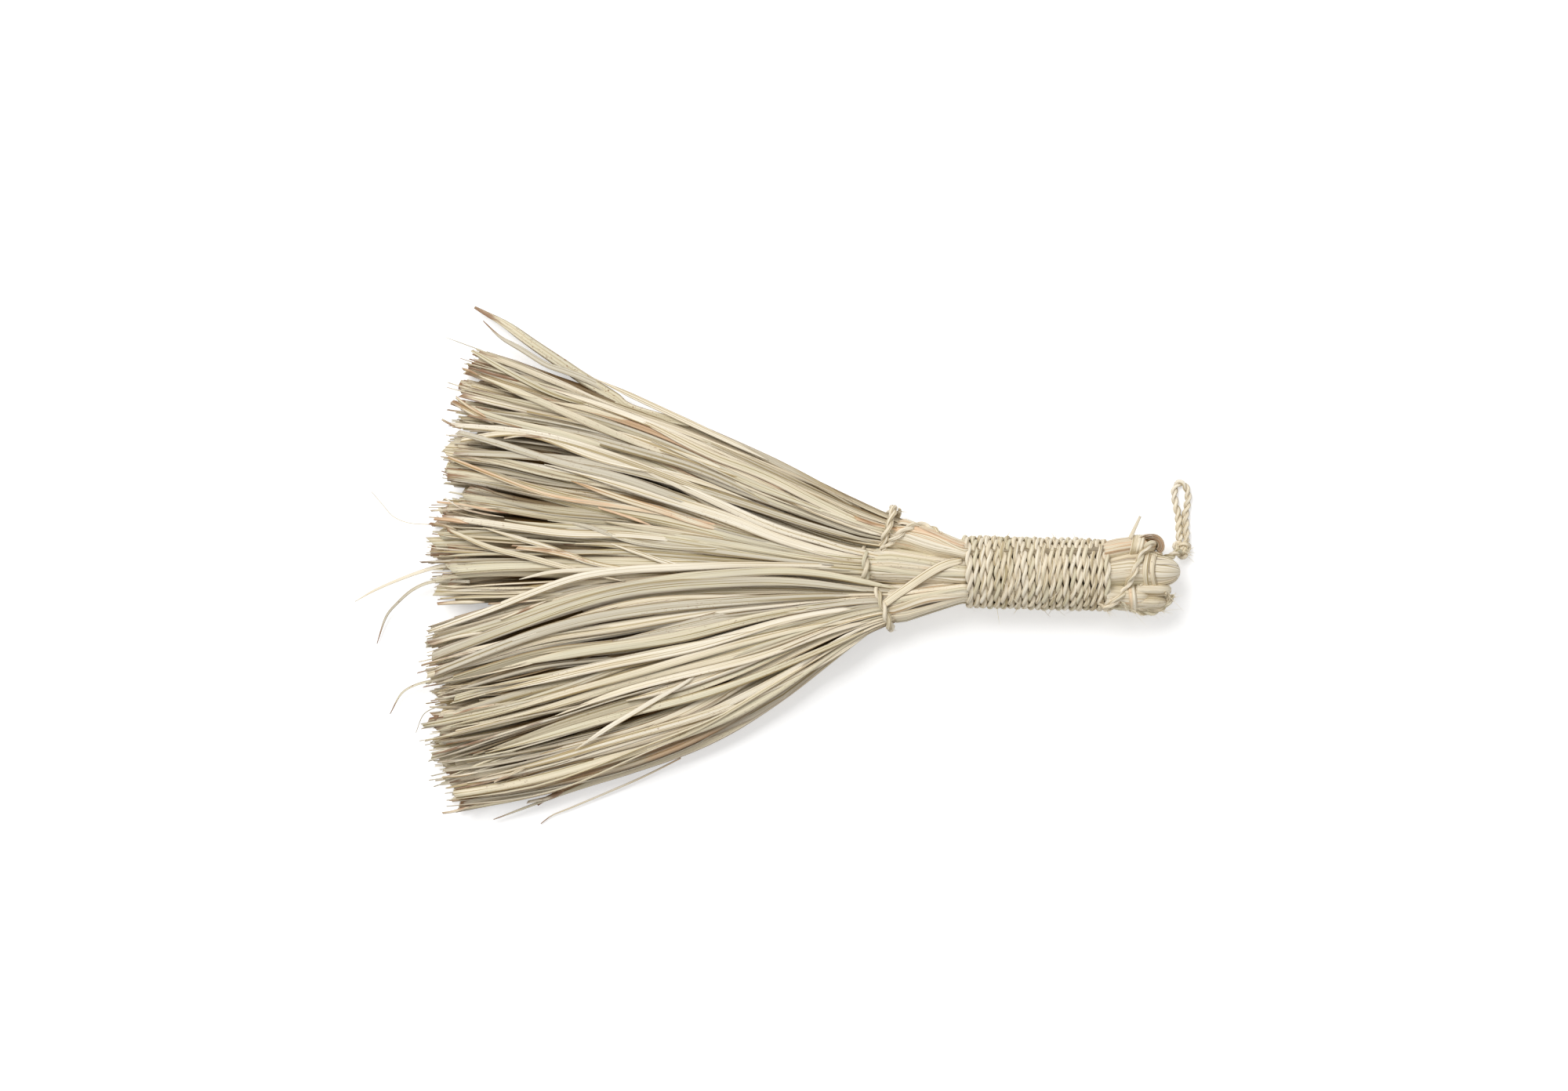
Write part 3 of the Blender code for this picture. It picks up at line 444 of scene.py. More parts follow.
# Materials
class Nodes:
    """A material's node tree, built up node by node."""

    def __init__(self, name):
        self.material = bpy.data.materials.new(name)
        self.material.use_nodes = True
        self.tree = self.material.node_tree
        self.shader = self.tree.nodes["Principled BSDF"]

    def node(self, kind, **values):
        """A new node, with its settings."""
        node = self.tree.nodes.new(kind)
        for key, value in values.items():
            setattr(node, key, value)
        return node

    def join(self, source, target):
        """A link from one node's output to another's input."""
        self.tree.links.new(source, target)

    def marks(self, name):
        """A mark of the mesh, as a value."""
        return self.node("ShaderNodeAttribute", attribute_name=name).outputs["Fac"]

    def scaled(self, vector, scale):
        """The vector, each part of it times its own scale."""
        node = self.node("ShaderNodeVectorMath", operation="MULTIPLY")
        self.join(vector, node.inputs[0])
        node.inputs[1].default_value = scale
        return node.outputs["Vector"]

    def noise(self, vector, scale, detail, roughness=0.55):
        """Noise over the leaf: scale is in features per metre, across and along."""
        node = self.node("ShaderNodeTexNoise", noise_dimensions="2D")
        node.inputs["Scale"].default_value = 1
        node.inputs["Detail"].default_value = detail
        node.inputs["Roughness"].default_value = roughness
        self.join(self.scaled(vector, (*scale, 1)), node.inputs["Vector"])
        return node.outputs["Fac"]

    def maths(self, operation, first, second):
        """The result of an operation on two values, each a number or a node's output."""
        node = self.node("ShaderNodeMath", operation=operation)
        for slot, value in zip(node.inputs, (first, second)):
            if isinstance(value, (int, float)):
                slot.default_value = value
            else:
                self.join(value, slot)
        return node.outputs[0]

    def stretch(self, value, low, high, to_low=0.0, to_high=1.0):
        """The value taken from one range to another, smoothly, and held at both ends."""
        node = self.node("ShaderNodeMapRange", clamp=True, interpolation_type="SMOOTHSTEP")
        self.join(value, node.inputs["Value"])
        for key, number in (("From Min", low), ("From Max", high), ("To Min", to_low), ("To Max", to_high)):
            node.inputs[key].default_value = number
        return node.outputs["Result"]

    def mix(self, share, first, second, blend="MIX"):
        """Two colours mixed or blended by a share. Each may be a node's output."""
        node = self.node("ShaderNodeMix", data_type="RGBA", blend_type=blend)
        for slot, value in zip((node.inputs[0], node.inputs[6], node.inputs[7]), (share, first, second)):
            if isinstance(value, (int, float)):
                slot.default_value = value
            elif isinstance(value, bpy.types.NodeSocket):
                self.join(value, slot)
            else:
                slot.default_value = (*value, 1)
        return node.outputs[2]

    def ramp(self, value, stops):
        """The colour at a value, between stops of a place and a colour each."""
        node = self.node("ShaderNodeValToRGB")
        self.join(value, node.inputs["Fac"])
        elements = node.color_ramp.elements
        while len(elements) > 1:
            elements.remove(elements[-1])
        elements[0].position, elements[0].color = stops[0][0], (*stops[0][1], 1)
        for place, colour in stops[1:]:
            elements.new(place).color = (*colour, 1)
        return node.outputs["Color"]


# Grains of the leaf's pattern, in features per metre across a strip and along it
VEIN_GRAIN = (2400, 9)
RIB_GRAIN = (1150, 5)
STREAK_GRAIN = (420, 4)
PATCH_GRAIN = (90, 22)
FLECK_GRAIN = (900, 420)
SPOT_GRAIN = (60, 10)
WITHER_GRAIN = (500, 60)

# What the leaf's grooves, edges and withered ends do to its colour, and its finish. The ribs are the leaf's
# own grain, and the darkening in the grooves between them is painted shade
GROOVE_STOPS = ((0, (0, 0, 0)), (0.5, (0.51, 0.43, 0.27)), (1, (1, 1, 1)))
GROOVE_DARK = 0.44
RIM_START = 0.82
RIM_SHADE = 0.44
WITHER_BROWN = 0.85
LEAF_SHEEN = 0.35
VEIN_BUMP = 0.6
VEIN_DEPTH = 0.25 * MM


def leaf_material(name, stops, fleck=0.5, brown=1.0, rough=0.62, vein=1.0):
    """Dry palm leaf: fine veins along it, soft patches, brown flecks and withered ends, with painted shade in
    the grooves between its ribs, along the edges of its strips and wherever its deep mark is high.
    """
    nodes = Nodes(name)
    hue = colours()
    uv = nodes.node("ShaderNodeUVMap", uv_map="leaf").outputs["UV"]
    tint, dry, side, deep = (nodes.marks(mark) for mark in ("tint", "dry", "side", "deep"))
    veins = nodes.noise(uv, VEIN_GRAIN, detail=2)
    ribs = nodes.noise(uv, RIB_GRAIN, detail=1)
    streaks = nodes.noise(uv, STREAK_GRAIN, detail=1)
    patches = nodes.noise(uv, PATCH_GRAIN, detail=2)
    flecks = nodes.noise(uv, FLECK_GRAIN, detail=2, roughness=0.7)
    shifted = nodes.maths("ADD", tint, nodes.stretch(patches, 0.25, 0.75, -0.07, 0.07))
    shifted = nodes.maths("ADD", shifted, nodes.stretch(streaks, 0.25, 0.75, -0.08, 0.08))
    colour = nodes.ramp(shifted, stops)
    lines = nodes.stretch(veins, 0.30, 0.70, 1 - 0.20 * vein, 1 + 0.04 * vein)
    # Painted shade in the grooves between the leaf's ribs, on top of its veins
    grooves = nodes.stretch(ribs, 0.33, 0.45, 1 - GROOVE_DARK * vein, 1.0)
    shade = nodes.maths("MULTIPLY", lines, grooves)
    colour = nodes.mix(1.0, colour, nodes.ramp(shade, GROOVE_STOPS), "MULTIPLY")
    # Painted shade along each strip's edges, mixed towards the brown colour
    rim = nodes.stretch(nodes.maths("ABSOLUTE", side, 0), RIM_START, 1.0, 0.0, RIM_SHADE)
    colour = nodes.mix(rim, colour, hue.brown)
    spots = nodes.stretch(flecks, 0.64, 0.72, 0.0, fleck)
    spotted = nodes.stretch(nodes.noise(uv, SPOT_GRAIN, detail=1), 0.50, 0.66)
    colour = nodes.mix(nodes.maths("MULTIPLY", spots, spotted), colour, hue.brown)
    ragged = nodes.stretch(nodes.noise(uv, WITHER_GRAIN, detail=3), 0.3, 0.7, -0.35, 0.25)
    withered = nodes.stretch(nodes.maths("ADD", dry, ragged), 0.25, 0.9, 0.0, WITHER_BROWN * brown)
    colour = nodes.mix(nodes.maths("MULTIPLY", withered, nodes.stretch(dry, 0.0, 0.05)), colour, hue.brown)
    # Painted shade: where the deep mark is high, the leaf's colour is multiplied by a dark brown
    colour = nodes.mix(deep, colour, hue.painted_shade, "MULTIPLY")
    nodes.join(colour, nodes.shader.inputs["Base Color"])
    nodes.join(nodes.stretch(patches, 0.3, 0.7, rough - 0.1, rough + 0.12), nodes.shader.inputs["Roughness"])
    nodes.shader.inputs["Specular IOR Level"].default_value = LEAF_SHEEN
    height = nodes.maths("ADD", veins, nodes.maths("MULTIPLY", ribs, 1.5))
    bump = nodes.node("ShaderNodeBump")
    bump.inputs["Strength"].default_value = VEIN_BUMP
    bump.inputs["Distance"].default_value = VEIN_DEPTH
    nodes.join(height, bump.inputs["Height"])
    nodes.join(bump.outputs["Normal"], nodes.shader.inputs["Normal"])
    return nodes.material


def fan_stops():
    """The colours that a leaf's tint runs through, from 0 to 1."""
    hue = colours()
    return [(0.0, hue.shade), (0.10, hue.grey), (0.30, hue.grey), (0.44, hue.green), (0.62, hue.straw),
            (0.80, hue.pale), (0.91, hue.straw), (0.97, hue.peach)]


def cord_stops():
    """The colours that a cord's tint runs through, from 0 to 1."""
    hue = colours()
    return [(0.0, hue.grey), (0.3, hue.green), (0.55, hue.cord), (0.85, hue.pale), (1.0, hue.straw)]


# The fan: each bundle's guide lines run from behind its tie to the cut tips. The first number is
# the guide's place across the bundle, from -1 at its lower edge to 1 at its upper edge
UPPER_GUIDES = (
    (-1.0, ((1157, 701), (1132, 700), (1108, 700), (1059, 690), (1000, 668), (930, 638), (860, 605),
            (760, 566), (660, 550), (574, 543))),
    (-0.5, ((1157, 690), (1132, 687), (1108, 686), (1050, 664), (985, 640), (900, 604), (820, 570),
            (740, 545), (655, 528), (580, 515))),
    (0.0, ((1157, 682), (1132, 678), (1108, 672), (1026, 639), (943, 608), (860, 570), (757, 531),
           (661, 506), (590, 486))),
    (0.5, ((1157, 675), (1132, 669), (1108, 660), (1045, 632), (943, 586), (850, 545), (755, 512),
           (670, 486), (598, 463))),
    (1.0, ((1157, 668), (1132, 659), (1108, 647), (1059, 623), (1000, 600), (940, 578), (850, 543),
           (795, 530), (757, 506), (719, 488), (673, 468), (642, 453), (606, 444))),
)
MIDDLE_GUIDES = (
    (-1.0, ((1128, 742), (1101, 740), (1078, 736), (1003, 730), (914, 733), (850, 741), (780, 750),
            (700, 758), (630, 764), (556, 769))),
    (-0.5, ((1128, 731), (1101, 730), (1078, 727), (1000, 722), (930, 720), (860, 719), (779, 717),
            (700, 714), (620, 712), (545, 714))),
    (0.0, ((1128, 721), (1101, 721), (1078, 718), (1000, 708), (940, 699), (880, 689), (796, 680),
           (692, 672), (552, 660))),
    (0.5, ((1128, 711), (1101, 712), (1078, 710), (1030, 702), (960, 687), (880, 662), (800, 643),
           (713, 626), (640, 604), (562, 592))),
    (1.0, ((1128, 701), (1101, 701), (1078, 696), (1042, 683), (993, 667), (926, 644), (860, 616),
           (774, 582), (680, 560), (568, 553))),
)
LOWER_GUIDES = (
    (-1.0, ((1152, 786), (1130, 795), (1112, 802), (1070, 830), (1026, 866), (981, 896), (914, 935),
            (860, 958), (790, 983), (690, 1010), (568, 1034))),
    (-0.5, ((1152, 778), (1128, 782), (1108, 786), (1070, 798), (1039, 811), (1003, 828), (936, 857),
            (869, 880), (780, 905), (700, 930), (620, 953), (552, 968))),
    (0.0, ((1152, 770), (1126, 770), (1108, 773), (1070, 784), (1003, 799), (936, 816), (847, 845),
           (780, 862), (700, 881), (620, 900), (548, 914))),
    (0.3, ((1152, 764), (1124, 764), (1106, 766), (1060, 770), (1003, 779), (923, 791), (847, 804),
           (780, 817), (700, 837), (620, 858), (545, 874))),
    (0.6, ((1152, 758), (1122, 757), (1104, 758), (1003, 760), (936, 762), (847, 769), (780, 780),
           (700, 799), (620, 824), (540, 846))),
    (1.0, ((1152, 749), (1120, 747), (1100, 746), (1070, 737), (1040, 729), (1003, 726), (940, 724),
           (873, 725), (820, 731), (790, 737), (740, 750), (700, 760), (663, 773), (546, 806))),
)
GUIDE_POINTS = 60

# Clumps at the tips, from the lower edge up: where each ends across the bundle, and how tightly
# its strips draw together there
UPPER_CLUMPS = ((-0.72, 0.45), (-0.33, 0.6), (0.12, 0.6), (0.62, 0.55), (1.0, 0.7))
MIDDLE_CLUMPS = ((-0.53, 0.4), (-0.26, 0.7), (-0.02, 0.55), (0.25, 0.65), (0.44, 0.55), (0.74, 0.45),
                 (1.0, 0.4))
LOWER_CLUMPS = ((-0.71, 0.35), (-0.45, 0.55), (-0.2, 0.45), (0.02, 0.5), (0.3, 0.45), (0.58, 0.5),
                (0.8, 0.45), (1.0, 0.4))

# Heights of the fan: how far along each station is, its floor and its top there in millimetres,
# how round its section is from 0 to 1, and whether it thins towards its edges from above alone, 0,
# or from below as well, 1
FAN_HEIGHTS = (
    (0.0, 0.025, 0.09, 0.25, 0.5, 0.8, 1.0),
    (15.5, 10.8, 10.5, 5.0, 1.2, 0.5, 0.5),
    (22.5, 27.6, 27.6, 26.0, 24.5, 23.0, 21.0),
    (0.85, 0.85, 0.85, 0.55, 0.35, 0.30, 0.30),
    (1.0, 1.0, 1.0, 0.6, 0.2, 0.0, 0.0),
)

# A strip's course: how soon it loosens past the tie, its points, how far past the cut tips it runs,
# where its clump starts to draw it in, over what reach, at most and how sharply, and how much it
# strays sideways and up
OPENING = 4
COURSE_POINTS = 56
COURSE_END = 1.08
GATHER_START = 0.70
GATHER_REACH = 0.30
GATHER_MOST = 1.1
GATHER_CURVE = 1.4
SWAY = 0.06
HEAVE = 0.14

# Layers, from the outer ones in: how deep each counts as, and how much painted shade it takes, for the shade
# between the strips deep inside. The shown layers on top are made of more faces. The painted shade fades
# towards the bundle's edges and the tips
LAYER_DEPTH = (0.0, 0.16, 0.62, 0.95, 1.0, 1.0)
LAYER_SHADE = (0.0, 0.22, 0.85, 1.0, 1.0, 1.0)
SHOWN_LAYERS = 4
LOWEST_LAYER = -0.96
LAYERS_RISE = 1.94
SHADE_EDGE = 0.14
SHADE_FADE = (0, 0.82, 0.95)
TIP_HAIRS = 4

# Along a strip: how wide it is as a share of its width, and how far it may roll about its length.
# Then how much the widths differ from strip to strip, and how jagged a torn end is
STRIP_WIDTHS = ((0, 0.06, 0.14, 0.36, 0.62, 0.82, 1), (0.40, 0.32, 0.42, 0.95, 1.0, 0.86, 0.78))
STRIP_ROLLS = ((0, 0.15, 0.4, 0.8, 1), (0.7, 0.6, 0.22, 0.35, 0.5))
STRIP_WIDTH_SPREAD = 0.32
STRIP_JAG = 1.2 * MM


class Bundle:
    """One tied bundle of the fan, whose strips follow its guide lines and part into clumps."""

    def __init__(self, name, guides, leaves, count, clumps, lifted=0.0):
        self.name, self.count, self.clumps, self.lifted = name, count, clumps, lifted
        self.nodes = [f"{name}_leaves_{number + 1}" for number in range(leaves)]
        self.sides = np.array([side for side, _ in guides])
        self.lines = np.array([settled(even_line([flat(*place) for place in line], GUIDE_POINTS))
                               for _, line in guides])

    def places(self, across, up, along):
        """Points of the bundle: across and up run from -1 to 1, and along from 0 at the tie to 1."""
        across, up = (np.broadcast_to(value, along.shape) for value in (across, up))
        step = along * (GUIDE_POINTS - 1)
        whole = np.clip(step.astype(int), 0, GUIDE_POINTS - 2)
        part = (step - whole)[:, None]
        guide = np.searchsorted(self.sides, across, side="right") - 1
        guide = np.clip(guide, 0, len(self.sides) - 2)
        low, high = self.sides[guide], self.sides[guide + 1]
        share = ((across - low) / (high - low))[:, None]
        near = self.lines[guide, whole] * (1 - part) + self.lines[guide, whole + 1] * part
        far = self.lines[guide + 1, whole] * (1 - part) + self.lines[guide + 1, whole + 1] * part
        ground = near * (1 - share) + far * share
        stations, floors, tops, rounds, centred = FAN_HEIGHTS
        floor, top, curve, middle = (np.interp(along, stations, row)
                                     for row in (floors, tops, rounds, centred))
        thick = top - floor
        full = thick * np.sqrt(1 - curve * np.clip(across, -1, 1) ** 2)
        z = floor + middle * (thick - full) / 2 + full * (up + 1) / 2
        z = z + self.lifted * np.clip(across, 0, 1) * np.clip(along * OPENING, 0, 1) * (up + 1) / 2
        return np.column_stack((ground, z * MM))


def fan_bundles():
    """The three bundles, with their nodes and the strips across a layer. The lower one's upper
    edge lies over the middle bundle, lifted by so many millimetres."""
    return (Bundle("upper", UPPER_GUIDES, 3, 8, UPPER_CLUMPS),
            Bundle("middle", MIDDLE_GUIDES, 5, 12, MIDDLE_CLUMPS),
            Bundle("lower", LOWER_GUIDES, 5, 18, LOWER_CLUMPS, lifted=2.0))


class Course:
    """The way of one strip through its bundle, from the tie to past the cut tips."""

    def __init__(self, leaf, bundle, across, up, cross):
        chance, self.bundle = leaf.chance, bundle
        self.along = np.linspace(0, COURSE_END, COURSE_POINTS)
        low = -1.0
        for self.clump, (high, gather) in enumerate(bundle.clumps):
            if across <= high:
                break
            low = high
        self.off_centre = (across - (low + high) / 2) / ((high - low) / 2)
        if (self.clump == 0 and self.off_centre < 0) or (high == 1.0 and self.off_centre > 0):
            self.off_centre = 0.0
        drawn = (self.along - GATHER_START) / GATHER_REACH
        pull = gather * np.clip(drawn, 0, GATHER_MOST) ** GATHER_CURVE
        loose = np.clip(self.along * OPENING, 0, 1)
        way = across + cross * (self.along - 0.15) * loose + ((low + high) / 2 - across) * pull
        sway = SWAY * loose * smooth_noise(chance, COURSE_POINTS, 2.6)
        self.way = np.clip(way + sway, -1.02, 1.02)
        heave = HEAVE * smooth_noise(chance, COURSE_POINTS, 3) * loose
        self.rise = np.clip(up + heave, -1.0, 1.1)

    def path(self, along, aside=0.0, above=0.0):
        """Points of the course, moved aside or above by a share of the bundle."""
        way = np.clip(np.interp(along, self.along, self.way) + aside, -1.06, 1.06)
        return self.bundle.places(way, np.interp(along, self.along, self.rise) + above, along)


def fill_bundle(leaf, bundle):
    """Lays the bundle's strips in layers, from the table up, with thin torn ones among them."""
    chance = leaf.chance
    layers = sizes().leaf_layers
    leaf.ends = [chance.uniform(-0.012, 0.010) for _ in bundle.clumps]
    for layer in range(layers):
        up = LOWEST_LAYER + LAYERS_RISE * layer / (layers - 1)
        inward = min(len(LAYER_DEPTH) - 1, layer, layers - 1 - layer)
        leaf.depth = LAYER_DEPTH[inward]
        leaf.shade_share = LAYER_SHADE[inward]
        shown = layer >= layers - SHOWN_LAYERS
        leaf.tints = [chance.betavariate(2.6, 1.8) for _ in bundle.clumps]
        for index in range(bundle.count):
            across = -1 + 2 * (index + 0.5 + chance.uniform(-0.5, 0.5)) / bundle.count
            lay_strip(leaf, bundle, across, up, shown)
            if chance.random() < 0.35:
                course = Course(leaf, bundle, chance.uniform(-1, 1), up, chance.gauss(0, 0.08))
                lay_shred(leaf, course, chance.choice((0.0, 0.2, 0.4)), 0.0, shown)
    for _ in range(TIP_HAIRS):
        lay_hair(leaf, bundle)


def painted_shade_at(leaf, along, course):
    """How much painted shade a strip of this layer takes: less at the tips and at the bundle's edges."""
    inside = 1 - np.abs(np.interp(along, course.along, course.way))
    edge = np.clip(inside / SHADE_EDGE, 0.1, 1)
    return leaf.shade_share * edge * np.interp(along, SHADE_FADE, (1.0, 1.0, 0.0))


def lay_strip(leaf, bundle, across, up, shown):
    """A strip of leaf, often split towards its tip into thinner ones."""
    chance = leaf.chance
    course = Course(leaf, bundle, across, up, chance.gauss(0, 0.10 if shown else 0.06))
    end = 1 + leaf.ends[course.clump] + chance.triangular(-0.05, 0.014, 0.003)
    end = end - 0.055 * abs(course.off_centre) ** 3
    end -= chance.uniform(0, 0.03) * leaf.depth
    pointed = chance.random() < 0.25
    if shown and chance.random() < 0.42:
        end, pointed = chance.uniform(0.5, 0.97), True
    along = np.linspace(0, end, 32 if shown else 14)
    width = sizes().strip_width * min(max(chance.lognormvariate(0, STRIP_WIDTH_SPREAD), 0.45), 1.8)
    profile = np.interp(along, *STRIP_WIDTHS)
    if pointed:
        profile = profile * np.clip((end - along) / chance.uniform(0.08, 0.25), 0.12, 1) ** 0.8
    places, spreads = STRIP_ROLLS
    roll = chance.gauss(0, 0.2) + np.interp(along, places, [chance.gauss(0, each) for each in spreads])
    tint = 0.04 + 0.84 * (leaf.tints[course.clump] * 0.3 + chance.betavariate(1.3, 1.1) * 0.7)
    tint = max(tint, 0.5 * leaf.depth)
    if chance.random() < 0.01:
        tint = 0.98
    leaf.strip(course.path(along), width * profile, roll, fold=chance.uniform(-0.25, 0.4), tint=tint,
               dry=dry_end(chance, along, end),
               columns=(3 if chance.random() < 0.6 else 4) if shown else 2,
               slant=chance.uniform(-0.5, 0.5), jag=0.0 if pointed else STRIP_JAG,
               deep=painted_shade_at(leaf, along, course))
    for side in (-1, 1):
        if chance.random() < (0.5 if shown else 0.15):
            lay_shred(leaf, course, chance.uniform(0.4, 0.8), side * chance.uniform(0.02, 0.08), shown,
                      tint + chance.uniform(-0.08, 0.08))


def lay_shred(leaf, course, begin, aside, shown, tint=None):
    """A thin torn strip that leaves its course sideways from where it begins."""
    chance = leaf.chance
    end = 1 + leaf.ends[course.clump] + chance.triangular(-0.06, 0.02, 0.0)
    if chance.random() < 0.2:
        end = chance.uniform(begin + 0.2, 1.0)
    along = np.linspace(begin, end, 18 if shown else 10)
    part = (along - begin) / (end - begin)
    width = sizes().fine_width * chance.uniform(0.7, 1.7)
    profile = np.interp(part, (0, 0.2, 0.4, 1), (0.08, 0.7, 1, 0.9)) * np.clip((1 - part) * 8, 0.4, 1)
    bend = aside * part + 0.03 * chance.gauss(0, 1) * part ** 2
    if tint is None:
        tint = chance.uniform(0.1, 0.9)
    above = np.interp(part, (0, 0.25, 1), (-0.12, 0.06, 0.06 + chance.uniform(-0.1, 0.1)))
    leaf.strip(course.path(along, bend, above), width * profile,
               chance.gauss(0, 0.5), fold=chance.uniform(-0.6, 0.9), tint=min(max(tint, 0), 0.94),
               dry=dry_end(chance, along, end), columns=2, slant=chance.uniform(-0.8, 0.8),
               deep=painted_shade_at(leaf, along, course))


def lay_hair(leaf, bundle):
    """A hair-thin fibre that frays out at the cut tips."""
    chance = leaf.chance
    course = Course(leaf, bundle, chance.uniform(-1, 1), chance.uniform(-0.8, 1), 0.0)
    begin, end = chance.uniform(0.74, 0.92), chance.triangular(0.94, 1.035, 0.98)
    along = np.linspace(begin, end, 12)
    part = (along - begin) / (end - begin)
    bend = chance.gauss(0, 0.05) * part + chance.gauss(0, 0.04) * part ** 3
    leaf.strip(course.path(along, bend, chance.gauss(0, 0.25) * part ** 2),
               chance.uniform(0.35, 0.6) * MM * np.clip((1 - part) * 4, 0.3, 1), fold=0.8,
               tint=chance.random() * 0.9, dry=chance.choice((0, 0.3, 0.8)) * part, columns=2)


def dry_end(chance, along, end):
    """How withered the strip is along its way: mostly just at its end."""
    kind = chance.random()
    if kind < 0.05:
        return np.interp(along, (0, 0.5, 0.75, 1), (0, 0, 0.4, 0.9))
    if kind < 0.42:
        reach = chance.uniform(0.01, 0.12)
        return np.clip((along - end + reach) / reach, 0, 1) * chance.uniform(0.35, 0.95)
    return np.zeros(len(along))


